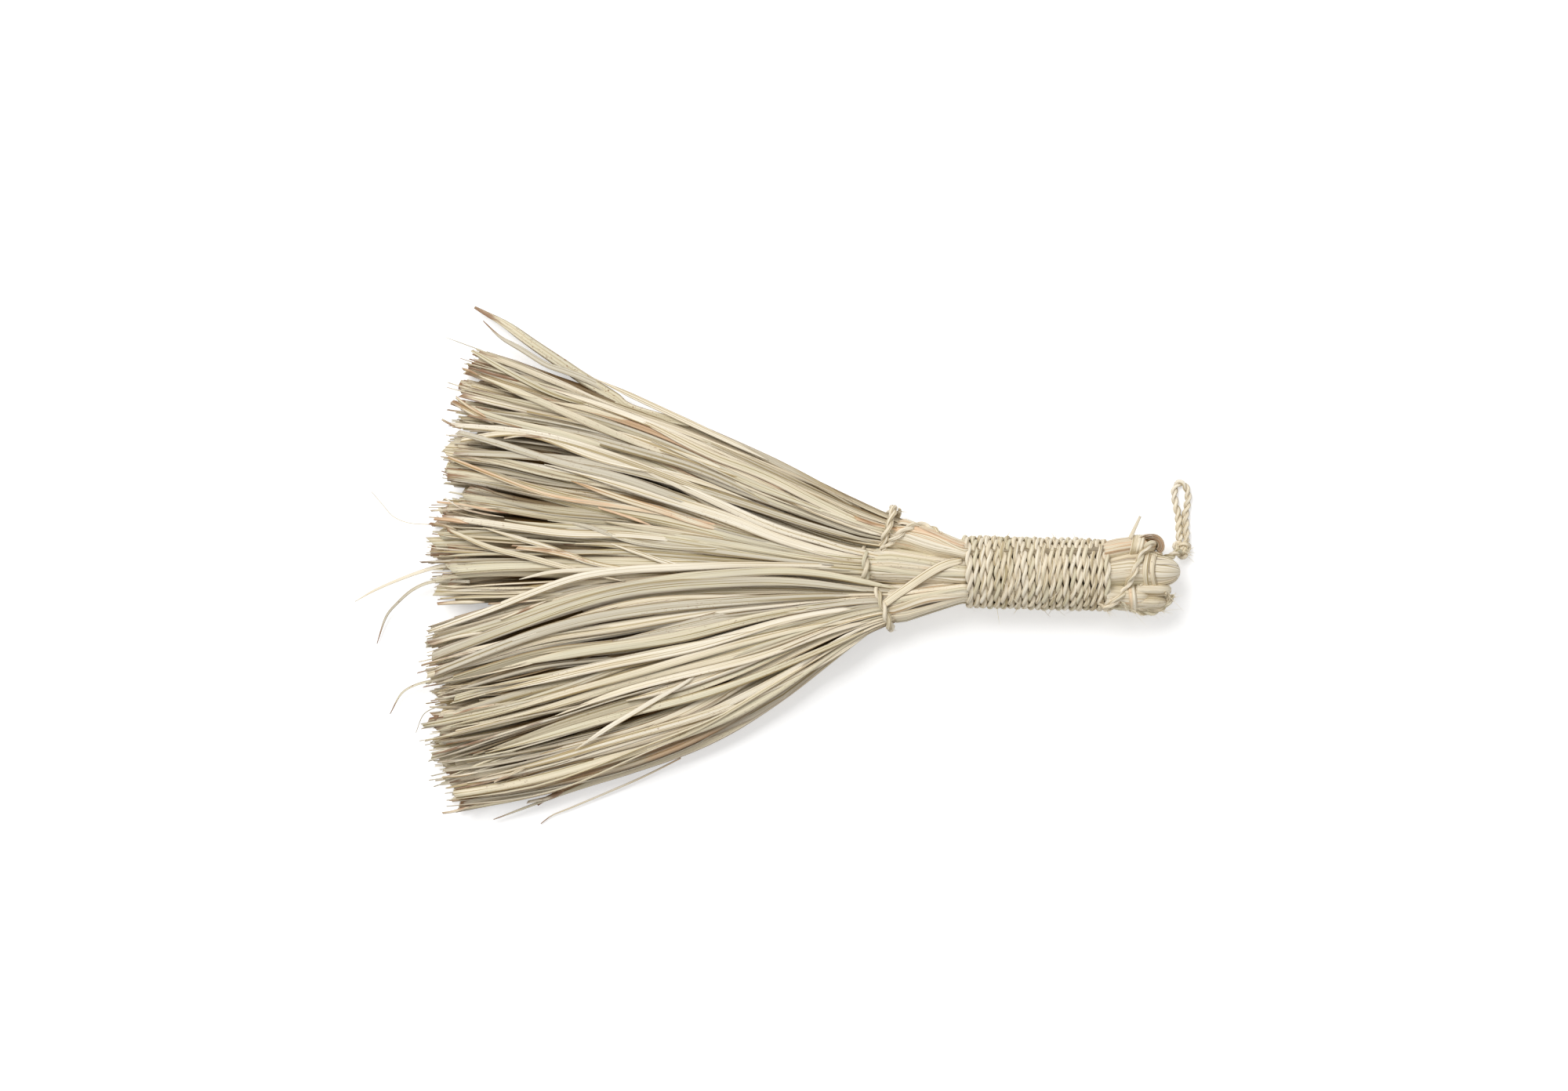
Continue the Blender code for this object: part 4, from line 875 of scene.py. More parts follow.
# Strips that the photograph shows one by one: places, widths in millimetres at the start, in the
# middle and at the end, heights above the table in millimetres, tint, and dryness at the tip. A
# strip that starts past NECK_PIXEL comes from a tie, and one that ends before TIP_PIXEL tapers off
NECK_PIXEL = 1085
TIP_PIXEL = 605
NOTED_POINTS = 34
NOTED_STRIPS = {
    "middle": (
        (((1150, 712), (1120, 708), (1097, 709), (1076, 699), (1026, 685), (984, 673), (926, 646),
          (860, 616), (820, 598), (775, 579)),
         (3.0, 4.6, 0.5), (27, 27.4, 27.4, 27.2, 27, 26.4, 25.6, 25, 24.8, 24.6), 0.80, 0.0),
        (((1150, 718), (1120, 717), (1092, 714), (1050, 703), (1009, 694), (943, 666), (880, 645),
          (800, 620), (757, 606), (696, 593)),
         (3.0, 6.6, 1.0), (27, 27.2, 27.2, 27, 26.8, 26.2, 25.4, 24.8, 24.4, 24), 0.78, 0.2),
        (((1095, 720), (1026, 714), (943, 703), (860, 692), (796, 681), (730, 676), (680, 672)),
         (3.0, 8.0, 2.0), (27.2, 26.8, 26, 25.2, 24.4, 24, 23.6), 0.36, 0.0),
        (((900, 694), (800, 682), (731, 682), (690, 677), (648, 671), (600, 664), (566, 660)),
         (2.2, 4.6, 2.6), (25.8, 25, 24.6, 24.2, 23.6, 22.8, 22), 0.74, 0.8),
        (((1092, 723), (981, 720), (900, 722), (847, 724), (787, 727), (745, 733), (703, 745),
          (663, 765), (600, 787), (548, 806)),
         (2.0, 4.6, 2.0), (27.2, 26.8, 26.6, 26.4, 25.8, 25.3, 24.8, 24.4, 23.5, 22.8), 0.74, 0.5),
        (((820, 730), (787, 726), (746, 727), (703, 730), (664, 739)),
         (1.2, 2.6, 0.8), (26.1, 25.8, 25.3, 24.8, 24.4), 0.80, 0.0),
        (((940, 682), (890, 668), (845, 652), (805, 640), (770, 628), (730, 614)),
         (1.6, 3.8, 1.0), (25.6, 25.6, 25.6, 25.4, 25.2, 24.9), 0.98, 0.0),
        (((960, 700), (880, 700), (800, 690), (757, 672), (700, 664)),
         (1.5, 2.8, 0.6), (25.9, 25.8, 25.2, 24.6, 24), 0.3, 0.0),
        (((930, 715), (873, 723), (820, 707), (779, 693)),
         (1.4, 2.6, 0.5), (25.8, 26.2, 25.6, 25), 0.70, 0.0),
        (((800, 742), (760, 733), (713, 721), (670, 709), (627, 699), (572, 675)),
         (1.6, 3.2, 1.8), (25.4, 25, 24.6, 24.2, 23.6, 22.6), 0.62, 0.9),
        (((830, 728), (779, 723), (740, 713), (705, 699), (660, 686), (618, 673)),
         (1.6, 3.0, 1.0), (25.8, 25.6, 25.2, 24.8, 24.2, 23.6), 0.80, 0.4),
        (((940, 676), (872, 660), (805, 648), (770, 643), (703, 633), (642, 611), (573, 584)),
         (1.6, 3.2, 1.8), (25.4, 25, 24.8, 24.6, 24.2, 23.6, 22.4), 0.90, 0.4),
        (((950, 664), (860, 634), (795, 610), (719, 592), (637, 566), (585, 552)),
         (2.4, 4.6, 2.6), (25.6, 25.2, 24.8, 24.4, 23.8, 22.8), 0.22, 0.4),
        (((938, 640), (846, 606), (770, 578), (683, 554), (578, 543)),
         (2.4, 4.4, 2.6), (25.8, 25.4, 25, 24.4, 22.8), 0.76, 0.3),
    ),
    "upper": (
        (((1157, 688), (1120, 678), (1067, 653), (1026, 633), (976, 606), (943, 595), (893, 576),
          (860, 557), (800, 530)),
         (3.0, 5.0, 3.0), (27.4, 27.6, 27.2, 27, 26.5, 26.2, 26, 25.4, 24.4), 0.58, 0.0),
        (((1150, 688), (1120, 683), (1067, 663), (1009, 640), (979, 620), (926, 601), (860, 578),
          (800, 556), (740, 540)),
         (2.6, 4.6, 2.0), (27.2, 27.3, 27, 26.6, 26.2, 26, 25.4, 25, 24.6), 0.72, 0.0),
        (((1100, 651), (1059, 627), (1010, 601), (956, 575), (900, 550), (850, 528)),
         (3.2, 4.2, 2.2), (23.5, 22.5, 21.5, 21, 20.5, 20), 0.10, 0.0),
        (((1120, 694), (1050, 676), (1000, 660), (943, 640), (880, 620), (820, 604), (760, 590),
          (700, 584), (640, 580), (580, 578)),
         (2.4, 5.2, 3.0), (26.6, 26, 25.6, 25.2, 24.8, 24.4, 24, 23.6, 23, 22), 0.22, 0.4),
        (((1000, 652), (940, 620), (880, 595), (800, 573), (724, 552), (670, 547), (600, 548)),
         (2.4, 5.6, 3.4), (26.2, 25.9, 25.6, 25, 24.2, 23.6, 22.6), 0.26, 0.5),
        (((960, 640), (880, 610), (820, 598), (757, 584), (692, 556), (651, 552), (590, 562)),
         (2.0, 4.2, 2.4), (25.8, 25.4, 25, 24.6, 24.4, 24, 22.6), 0.66, 0.3),
        (((880, 590), (820, 568), (779, 552), (713, 523), (660, 500), (612, 480)),
         (2.0, 4.6, 2.6), (25.8, 25.6, 25.2, 24.8, 24, 22.6), 0.56, 0.4),
        (((980, 588), (940, 568), (880, 540), (820, 512), (760, 484)),
         (2.0, 3.2, 0.5), (24, 23.6, 23, 22, 20.6), 0.70, 0.3),
        (((800, 580), (740, 560), (690, 548), (640, 536), (579, 514)),
         (2.0, 4.2, 3.0), (25.4, 25.2, 24.7, 24.1, 22.8), 0.45, 3.0),
        (((760, 520), (710, 505), (670, 486), (640, 470), (603, 448)),
         (2.0, 3.6, 1.4), (24.6, 24.2, 23.4, 22.4, 21), 0.40, 0.6),
    ),
    "lower": (
        (((1150, 752), (1112, 747), (1070, 734), (1040, 727), (985, 728), (927, 731), (867, 737), (823, 743),
          (740, 761), (700, 774), (620, 800), (548, 820)), (3.0, 5.4, 3.0),
         (27, 27.4, 28, 28, 27.7, 27.3, 26.6, 26.2, 25.3, 24.8, 23.8, 22.8), 0.40, 0.5),
        (((1112, 755), (1070, 748), (1040, 743), (985, 741), (923, 742), (830, 748), (780, 757), (740, 768),
          (690, 786), (620, 812), (553, 838)), (2.6, 7.4, 4.4),
         (27.4, 28, 28, 27.6, 27.2, 26.3, 25.8, 25.3, 24.7, 23.8, 22.8), 0.30, 0.5),
        (((1104, 760), (1040, 760), (981, 763), (940, 767), (890, 770), (840, 775), (780, 784), (740, 791),
          (700, 802), (620, 832), (556, 858)), (2.4, 6.6, 3.6),
         (27.4, 27.9, 27.6, 27.3, 26.9, 26.3, 25.7, 25.3, 24.8, 23.8, 22.9), 0.20, 0.6),
        (((1081, 767), (1003, 780), (940, 793), (892, 807), (830, 819), (780, 825), (700, 838), (640, 852)),
         (2.4, 6.6, 2.6), (27.4, 27.7, 27.3, 26.8, 26.2, 25.7, 24.8, 24.1), 0.48, 0.0),
        (((1115, 771), (1060, 779), (1003, 789), (950, 806), (914, 818), (847, 834), (780, 846), (700, 866),
          (620, 884)), (2.4, 5.4, 3.0), (27.4, 27.6, 27.6, 27.4, 27, 26.4, 25.7, 24.8, 23.8), 0.78, 0.0),
        (((1115, 787), (1060, 794), (1003, 805), (950, 819), (892, 834), (835, 852), (780, 867), (700, 890),
          (630, 912)), (2.2, 4.4, 2.2), (27.2, 27.4, 27.2, 27, 26.8, 26.2, 25.7, 24.8, 23.9), 0.60, 0.2),
        (((1119, 789), (1048, 807), (981, 834), (892, 856), (840, 868), (780, 885), (710, 912)),
         (2.2, 4.2, 0.8), (27.2, 27.4, 27.2, 26.8, 26.3, 25.7, 24.9), 0.72, 0.0),
        (((1112, 800), (1092, 809), (1048, 828), (1003, 847), (950, 868), (892, 887), (835, 901),
          (780, 914), (700, 938), (620, 960)),
         (2.2, 4.6, 2.6), (26, 25.6, 25.6, 25.6, 25.4, 25.2, 25, 24.6, 24, 23), 0.52, 0.3),
        (((1115, 802), (1060, 840), (1003, 867), (950, 893), (892, 914), (835, 930), (780, 945), (700, 970),
          (620, 990)), (2.2, 5.0, 3.0), (23.4, 22.6, 22.6, 22.6, 22.6, 22.4, 22, 21, 20), 0.66, 0.3),
        (((905, 846), (887, 861), (876, 870), (850, 884), (818, 903), (780, 925), (735, 955)),
         (1.0, 3.0, 1.2), (26.8, 26.8, 26.7, 26.4, 26.1, 25.7, 25.2), 0.72, 0.2),
        (((1116, 800), (1070, 832), (1026, 868), (981, 899), (914, 940), (860, 963), (770, 993), (700, 1021)),
         (2.4, 6.0, 2.4), (20, 17, 15, 14, 12, 11, 9, 7), 0.62, 0.8),
        (((960, 893), (900, 925), (860, 936), (800, 950), (740, 965), (670, 990)),
         (1.6, 3.4, 1.0), (20.5, 19.5, 19, 18, 17, 15), 1.0, 0.4),
    ),
}


# Thin withered streaks: places, width and height in millimetres, and tint. One of a tint past
# STREAK_PEACH is withered less
STREAK_POINTS = 14
STREAK_PEACH = 0.95
STREAKS = {
    "upper": (
        (((632, 541), (605, 528), (579, 513)), 3.0, 23.6, 0.97),
        (((668, 547), (640, 540), (600, 531)), 1.6, 24.4, 0.9),
        (((622, 533), (600, 520), (584, 508)), 1.8, 23.8, 0.97),
        (((612, 480), (600, 474), (592, 472)), 1.6, 22.4, 0.9),
        (((1148, 677), (1130, 673), (1110, 668), (1090, 661)), 2.6, 27.9, 0.97),
        (((700, 560), (670, 557), (645, 560)), 1.2, 24.6, 0.6),
        (((590, 548), (575, 541), (566, 536)), 1.4, 22.8, 0.6),
    ),
    "middle": (
        (((650, 655), (620, 650), (590, 644), (560, 641)), 1.6, 23.6, 0.9),
        (((640, 648), (610, 648), (580, 650), (552, 652)), 1.2, 23.4, 0.6),
        (((645, 660), (615, 655), (590, 648), (570, 636)), 1.0, 23.8, 0.9),
        (((600, 668), (580, 664), (556, 662)), 2.4, 22.8, 0.97),
        (((584, 676), (566, 670), (550, 668)), 1.6, 22.4, 0.6),
        (((785, 724), (740, 713), (700, 704), (661, 699)), 2.4, 25.2, 0.97),
        (((740, 708), (700, 700), (655, 696)), 1.2, 25.0, 0.9),
        (((833, 671), (800, 659), (765, 648)), 1.6, 26.0, 0.97),
        (((620, 768), (590, 768), (560, 770)), 2.2, 22.6, 0.9),
        (((700, 764), (660, 768), (625, 770)), 1.4, 24.0, 0.6),
    ),
    "lower": (
        (((936, 912), (900, 928), (870, 940), (845, 947)), 2.6, 17.0, 0.97),
        (((620, 806), (585, 812), (552, 822)), 2.2, 23.8, 0.97),
        (((610, 830), (575, 838), (540, 848)), 1.4, 23.4, 0.9),
        (((700, 766), (670, 778), (640, 790)), 1.8, 24.8, 0.9),
        (((672, 978), (650, 988), (632, 996)), 1.6, 22.0, 0.6),
        (((720, 1010), (700, 1018), (672, 1024)), 2.0, 9.0, 0.9),
        (((600, 1028), (580, 1034), (566, 1036)), 1.4, 20.0, 0.9),
        (((640, 896), (610, 902), (580, 910)), 1.2, 23.8, 0.9),
        (((612, 984), (590, 988), (566, 990)), 1.4, 22.4, 0.9),
    ),
}


def lay_streaks(leaf, streaks):
    """Lays the withered streaks of one bundle on its strips."""
    along = np.linspace(0, 1, STREAK_POINTS)
    for places, width, height, tint in streaks:
        path = even_line([spot(*place, height) for place in places], STREAK_POINTS)
        dry = 0.75 + 0.25 * smooth_noise(leaf.chance, STREAK_POINTS, 12)
        leaf.strip(path, width * MM * np.interp(along, (0, 0.3, 1), (0.2, 1, 0.7)),
                   fold=leaf.chance.uniform(0.2, 0.6), tint=tint,
                   dry=dry * (0.75 if tint < STREAK_PEACH else 0.45),
                   columns=3, slant=leaf.chance.uniform(-0.6, 0.6))


def raised(places, heights, count):
    """A line through places on the photograph, each at its own height in millimetres."""
    return even_line([spot(*place, height) for place, height in zip(places, heights)], count)


def lay_noted(leaf, strips):
    """Lays the strips of one bundle that are noted one by one."""
    along = np.linspace(0, 1, NOTED_POINTS)
    for places, widths, heights, tint, dry in strips:
        path = settled(raised(places, heights, NOTED_POINTS), 3)
        inner = places[-1][0] > TIP_PIXEL
        last = 0.3 if inner else widths[2]
        width = np.interp(along, (0, 0.45, 0.8, 1), (widths[0], widths[1], widths[1] * 0.85, last)) * MM
        if inner:
            path[:, 2] -= np.interp(along, (0.85, 1), (0, 1.2 * MM))
        fade = 0.18 if places[0][0] < NECK_PIXEL else 0.08
        width *= np.interp(along, (0, fade), (0.15, 1))
        path[:, 2] -= np.interp(along, (0, fade), (2.2 * MM, 0))
        reach = 0.07 * max(dry, 1)
        roll = leaf.chance.uniform(-0.2, 0.2) + 0.1 * smooth_noise(leaf.chance, NOTED_POINTS, 4)
        leaf.strip(path, width, roll, fold=leaf.chance.uniform(0.05, 0.25), tint=tint,
                   dry=np.clip((along - 1 + reach) / reach, 0, 1) * min(dry, 1),
                   columns=4, slant=leaf.chance.uniform(-0.4, 0.4), jag=0.6 * MM if widths[2] > 1.2 else 0)


class BROOM_OT_leaves(bpy.types.Operator):
    """The split leaf of the three bundles, from behind their ties to the cut tips"""
    bl_idname = "broom.leaves"
    bl_label = "Split leaf"

    def execute(self, context):
        material = leaf_material("split palm leaf", fan_stops())
        for number, bundle in enumerate(fan_bundles()):
            leaf = LeafMesh(11 + number)
            fill_bundle(leaf, bundle)
            lay_noted(leaf, NOTED_STRIPS[bundle.name])
            lay_streaks(leaf, STREAKS[bundle.name])
            leaf.finish(f"{bundle.name}_leaf_strips", material, bundle.nodes,
                        thickness=sizes().leaf_thickness)
        return {"FINISHED"}


# Blades and fibres that stand clear of the bundles: places, widths and heights as for the noted
# strips, tint, dryness at the tip, and how much they roll
LOOSE_POINTS = 30
FIBRE_WIDTH = 1.0
LOOSE_STRIPS = {
    "upper_outer_blade_1": (((880, 541), (843, 533), (802, 521), (785, 508), (747, 485), (715, 463),
                             (677, 437), (645, 414), (622, 401), (604, 391)),
                            (3.6, 6.6, 1.4), (21, 20.5, 19, 18, 15, 12.5, 10.5, 9, 7, 5), 0.46, 1.0, 0.05),
    "upper_outer_blade_2": (((850, 548), (810, 530), (773, 498), (747, 484), (721, 474), (696, 465),
                             (664, 445), (638, 430), (616, 409)),
                            (2.6, 3.6, 0.4), (18, 17, 16.5, 16, 15.5, 15, 13.5, 12, 10), 0.2, 0.9, 0.4),
    "lower_outer_blade_1": (((900, 944), (860, 962), (800, 984), (745, 1001), (700, 1018), (684, 1028)),
                            (3.2, 4.0, 1.6), (9, 8.5, 7.5, 6, 4.5, 3.5), 1.0, 1.0, 0.2),
    "lower_outer_blade_2": (((820, 968), (770, 990), (720, 1012), (670, 1031), (628, 1047)),
                            (1.2, 1.6, 0.4), (13, 11, 9, 6.5, 4), 0.45, 0.7, 0.3),
    "lower_outer_fibre": (((868, 968), (820, 992), (770, 1014), (725, 1033), (703, 1042), (688, 1053)),
                          (0.8, 1.2, 0.4), (5, 4, 3, 2, 1.4, 0.8), 0.9, 0.9, 0.3),
    "upper_wisp": (((640, 462), (618, 449), (600, 442), (584, 436), (568, 430)),
                   (0.7, 0.5, 0.2), (14, 13, 12, 10, 8), 0.2, 0.6, 0.0),
    "middle_wisp_1": (((600, 668), (570, 669), (545, 669), (520, 667), (500, 659), (486, 644), (471, 627)),
                      (0.5, 0.35, 0.2), (16, 14, 11, 8, 5, 3, 1), 0.5, 0.5, 0.0),
    "middle_wisp_2": (((600, 720), (565, 722), (535, 730), (505, 741), (475, 754), (450, 768)),
                      (2.4, 1.7, 0.3), (17, 15, 12, 9, 6, 2), 0.62, 0.5, 0.3),
    "middle_wisp_3": (((600, 742), (575, 741), (548, 743), (525, 753), (505, 770), (490, 788), (478, 822)),
                      (1.8, 1.6, 0.3), (16, 14, 11.5, 8.5, 6, 3.5, 1), 0.35, 0.8, 0.5),
    "lower_wisp_1": (((620, 862), (585, 863), (555, 868), (530, 874), (510, 886), (495, 912)),
                     (1.4, 1.4, 0.3), (15, 13, 10, 7, 4.5, 2), 0.35, 0.9, 0.4),
    "lower_wisp_2": (((600, 894), (575, 897), (555, 903), (538, 913), (528, 936)),
                     (0.6, 0.5, 0.25), (10, 8, 6, 3.5, 1), 0.1, 0.5, 0.0),
}


class BROOM_OT_loose_strips(bpy.types.Operator):
    """The blades along the fan's edges and the fibres that stick out past the tips"""
    bl_idname = "broom.loose_strips"
    bl_label = "Loose blades and fibres"

    def execute(self, context):
        blade = leaf_material("loose palm blade", fan_stops(), fleck=1.0, vein=0.5)
        along = np.linspace(0, 1, LOOSE_POINTS)
        for number, (name, row) in enumerate(LOOSE_STRIPS.items()):
            places, widths, heights, tint, dry, bend = row
            leaf = LeafMesh(40 + number)
            path = raised(places, heights, LOOSE_POINTS)
            start, middle, end = widths
            width = np.interp(along, (0, 0.45, 0.8, 1), (start, middle, middle * 0.7 + end * 0.3, end)) * MM
            fibre = start <= FIBRE_WIDTH
            leaf.strip(path, width, bend * smooth_noise(leaf.chance, LOOSE_POINTS, 4), fold=0.18,
                       tint=tint, dry=np.clip((along - 0.80) / 0.16, 0, 1) * dry,
                       columns=2 if fibre else 4)
            leaf.finish(f"{name}_strip", blade, [name],
                        thickness=sizes().leaf_thickness * (0.8 if fibre else 1.2))
        return {"FINISHED"}


# Necks, stems and handle
def axis_y(x):
    """Where the handle's axis lies across the frame, which leans a little."""
    return HANDLE_Y + HANDLE_LEAN * (x - BINDING_START)


# How square the sections of a skin are: 1 is round, and less is squarer
SKIN_SQUARE = 0.55


class Skin:
    """A bundle's outside from its tie, through the binding, to the butt. A section is its X, its
    lower and upper edges in Y, its half height and how round it is. The end is rounded off."""

    def __init__(self, sections, nose):
        self.rows = np.array([(x * MM, low * MM, high * MM, half * MM, curve)
                              for x, low, high, half, curve in sections])
        self.nose = (nose[0] * MM, nose[1] * MM)

    def section(self, x):
        """The skin's middle, half width, half height and roundness at X places."""
        low, high, half, curve = (np.interp(x, self.rows[:, 0], self.rows[:, column])
                                  for column in range(1, 5))
        start, end = self.nose
        shrink = np.sqrt(1 - np.clip((x - start) / (end - start), 0, 1) ** 2)
        return (low + high) / 2, (high - low) / 2 * shrink, half * shrink, curve

    def places(self, turn, x, grow):
        """Points at a turn round the skin, 0 at its lower edge, 0.25 on top, 0.5 at its upper edge."""
        middle, wide, half, curve = self.section(x)
        angle = np.broadcast_to(turn, x.shape) * math.tau
        side = -np.cos(angle)
        tall = half * np.sqrt(1 - curve * side ** 2) + grow
        z = AXIS_Z + tall * np.sign(np.sin(angle)) * np.abs(np.sin(angle)) ** SKIN_SQUARE
        return np.column_stack((x, middle + (wide + grow) * side, z))

    def top(self, x, y):
        """The height of the skin's upper side at a place, or nothing where the place is off it."""
        middle, wide, half, curve = self.section(x)
        side = (y - middle) / max(wide, 1e-6)
        if abs(side) >= 1 or not self.rows[0, 0] <= x <= self.nose[1]:
            return 0.0
        return AXIS_Z + half * math.sqrt(1 - curve * side ** 2) * (1 - side ** 2) ** (SKIN_SQUARE / 2)

    def girth(self, x):
        """About how far it is round the skin at X places."""
        low, high, half = (np.interp(x, self.rows[:, 0], self.rows[:, column]) for column in (1, 2, 3))
        return 2.2 * ((high - low) + 1.6 * half)

    def stations(self, first, last, count):
        """X places from first to last, closer together towards the rounded end."""
        start, end = self.nose
        if last <= start:
            return np.linspace(first, last, count)
        part = np.linspace(0, 1, count // 2 + 1)[1:]
        limit = math.asin(min(1, (last - start) / (end - start)))
        return np.concatenate((np.linspace(first, start, count - len(part)),
                               start + (end - start) * np.sin(part * limit)))


# Sections of the three stems, of the curl and of the folded ends, in millimetres, with the X places
# between which each end is rounded
SKINS = {
    "upper": Skin(((62.5, 10.4, 26.4, 8.6, 0.8), (75.0, 8.6, 24.4, 9.4, 0.75),
                   (90.0, 4.4, 19.0, 12.6, 0.6), (104.0, 1.2, 13.2, 15.6, 0.62),
                   (180.0, 2.6, 12.4, 15.2, 0.62), (187.0, 4.0, 14.2, 14.2, 0.66),
                   (196.0, 6.2, 15.2, 11.6, 0.7), (209.0, 6.6, 15.6, 10.4, 0.8)), (199.0, 208.6)),
    "middle": Skin(((50.5, -6.8, 8.8, 8.6, 0.8), (66.0, -8.4, 9.8, 9.6, 0.7),
                    (85.0, -9.4, 6.6, 13.0, 0.35), (104.0, -9.6, 3.8, 16.6, 0.14),
                    (180.0, -10.2, 4.2, 16.6, 0.14), (192.0, -10.2, 7.4, 14.8, 0.35),
                    (200.0, -10.4, 7.6, 13.6, 0.5), (209.0, -10.8, 5.9, 12.6, 0.6),
                    (221.0, -11.2, 5.4, 11.6, 0.7)), (207.5, 220.9)),
    "lower": Skin(((60.0, -30.4, -11.8, 8.6, 0.8), (75.0, -28.4, -8.8, 9.6, 0.75),
                   (90.0, -23.4, -7.8, 12.6, 0.6), (104.0, -18.9, -6.8, 15.6, 0.62),
                   (180.0, -20.6, -8.4, 15.6, 0.62),
                   (188.0, -22.8, -9.0, 13.8, 0.6), (192.0, -23.0, -9.4, 12.8, 0.6),
                   (205.0, -22.4, -9.4, 10.9, 0.7)), (197.0, 205.0)),
}
NOSE_START = 205.0 * MM
CURL_SKIN = Skin(((198.0, 8.6, 16.2, 9.6, 0.7), (208.5, 9.0, 16.0, 9.4, 0.8)), (203.5, 208.5))
FOLD_SKINS = {
    "lower_butt_fold_1": Skin(((195.0, -15.9, -8.9, 11.3, 0.7), (216.0, -15.7, -9.4, 9.6, 0.75)),
                              (207.5, 216.0)),
    "lower_butt_fold_2": Skin(((193.0, -22.5, -15.5, 10.8, 0.7), (214.0, -22.2, -15.7, 9.2, 0.75)),
                              (205.0, 213.4)),
}

# The strips along a stem: points, how deep a tie presses their start in, and over what length, and
# the tint of the peach ones
SKIN_POINTS = 18
TIE_PRESS = 1.4 * MM
TIE_REACH = 5 * MM
PEACH_TINTS = (0.89, 0.965)

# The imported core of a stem: stations along it and points round it
CORE_STATIONS = 36
CORE_POINTS = 25

# For each stem, the tints of its strips before and behind the binding, how many lie round it
# behind the binding, and between which turns they are peach at both places
STEM_TINTS = ((0.72, 0.74), (0.67, 0.68), (0.70, 0.70))
NECK_STRIPS = 17
BUTT_STRIPS = (9, 8, 8)
STEM_PEACH = (((0.30, 0.40), (0.20, 0.50)), ((), (0.03, 0.09)), ((), ()))


def surface_top(x, y):
    """The height of whatever lies highest at a place on the necks, the handle or the butt."""
    tops = [skin.top(x, y) for skin in (*SKINS.values(), *FOLD_SKINS.values())]
    across = (y - axis_y(x)) / GRIP_RADIUS
    if BINDING_START < x < BINDING_END and abs(across) < 1:
        tops.append(AXIS_Z + GRIP_RADIUS * math.sqrt(1 - across ** 2))
    return max(*tops, AXIS_Z)


def rested(pixels, lift):
    """Places on the photograph as points that rest on what lies below them."""
    points = []
    for place in pixels:
        x, y = flat(*place)
        nearer = (CAMERA_HEIGHT - surface_top(x, y) - lift) / (CAMERA_HEIGHT - SHARP_HEIGHT)
        points.append((x * nearer, y * nearer, surface_top(x * nearer, y * nearer) + lift))
    return points


def dress_skin(leaf, skin, first, last, tint, strips, layers=2, peach=(), spread=0.16, sway=0.012,
               lean=None):
    """Leaf strips laid side by side along a skin, from first to last. Where a tie leans across their
    start, lean says how much."""
    chance = leaf.chance
    for layer in range(layers):
        for index in range(strips):
            turn = (index + 0.5 * layer + chance.uniform(-0.3, 0.3)) / strips
            begin = first + chance.uniform(-0.7, 0.7) * MM
            if lean is not None:
                begin -= lean * NECK_HALF * math.cos(turn * math.tau)
            x = skin.stations(begin, last, SKIN_POINTS)
            way = turn + sway * smooth_noise(chance, len(x), 5)
            width = skin.girth(x) / strips * chance.uniform(0.8, 1.5)
            top = (0.2 + 0.35 * layer + chance.uniform(0, 0.45)) * MM
            grow = np.full(len(x), top)
            if lean is not None:
                grow = np.interp(x, (begin, begin + TIE_REACH), (-TIE_PRESS, top))
            shade = min(max(tint + chance.gauss(0, spread), 0.02), 0.86)
            if peach and peach[0] < turn % 1 < peach[1]:
                shade = chance.uniform(*PEACH_TINTS)
            # A little painted shade, more on some strips than on others
            leaf.wrap(skin, x, way, width, grow, shade, deep=0.07 * chance.random())


def packed_core(leaf, skin, start, stop, tint=0.35, grow=-0.5 * MM, deep=0.6):
    """The stem's packed inside, which closes every gap between the strips over it. Its deep mark, 0.6 unless
    given, is painted shade, which shows through those gaps.
    """
    x = skin.stations(start, stop, CORE_STATIONS)
    turns = np.linspace(0, 1, CORE_POINTS)
    places = np.array([skin.places(turns, np.full(CORE_POINTS, each), grow) for each in x])
    around = np.broadcast_to(turns * 40 * MM, (len(x), CORE_POINTS))
    spots = leaf.sheet(places, around, x, tint, np.zeros(len(x)), np.zeros(CORE_POINTS), deep)
    leaf.close(spots)


class BROOM_OT_stems(bpy.types.Operator):
    """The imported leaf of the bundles, from their ties through the binding to the butt"""
    bl_idname = "broom.stems"
    bl_label = "Stems"

    def execute(self, context):
        material = leaf_material("packed palm leaf", fan_stops(), vein=0.8)
        for number, (name, skin) in enumerate(SKINS.items()):
            first, last = skin.rows[0, 0], skin.nose[1] - 0.3 * MM
            leaf = LeafMesh(70 + number)
            _, (tie_x, _), _, lean, _ = NECK_TIES[number]
            neck_tint, butt_tint = STEM_TINTS[number]
            neck_peach, butt_peach = STEM_PEACH[number]
            dress_skin(leaf, skin, tie_x * MM, BINDING_START + 3 * MM, neck_tint, NECK_STRIPS,
                       peach=neck_peach, sway=0.03, lean=lean)
            stop = last if name != "middle" else NOSE_START + 0.8 * MM
            dress_skin(leaf, skin, BINDING_END - 4 * MM, stop, butt_tint, BUTT_STRIPS[number],
                       peach=butt_peach)
            if name == "upper":
                x = np.linspace(78.0, 105.0, 16) * MM
                leaf.wrap(skin, x, np.linspace(0.365, 0.335, 16), np.full(16, 4.6 * MM),
                          np.full(16, 1.1 * MM), 0.985, dry=0.34)
            leaf.finish(f"{name}_stem_strips", material, [], thickness=sizes().leaf_thickness)
            core = LeafMesh(80 + number)
            packed_core(core, skin, first + 0.5 * MM, last)
            core.finish(f"{name}_stem_core", material, [f"{name}_stem"], recalc=True)
        return {"FINISHED"}


def cord_material(name):
    """Twisted palm fibre, with the leaf's veins and few flecks."""
    return leaf_material(name, cord_stops(), fleck=0.15, brown=0.5, rough=0.66, vein=0.8)


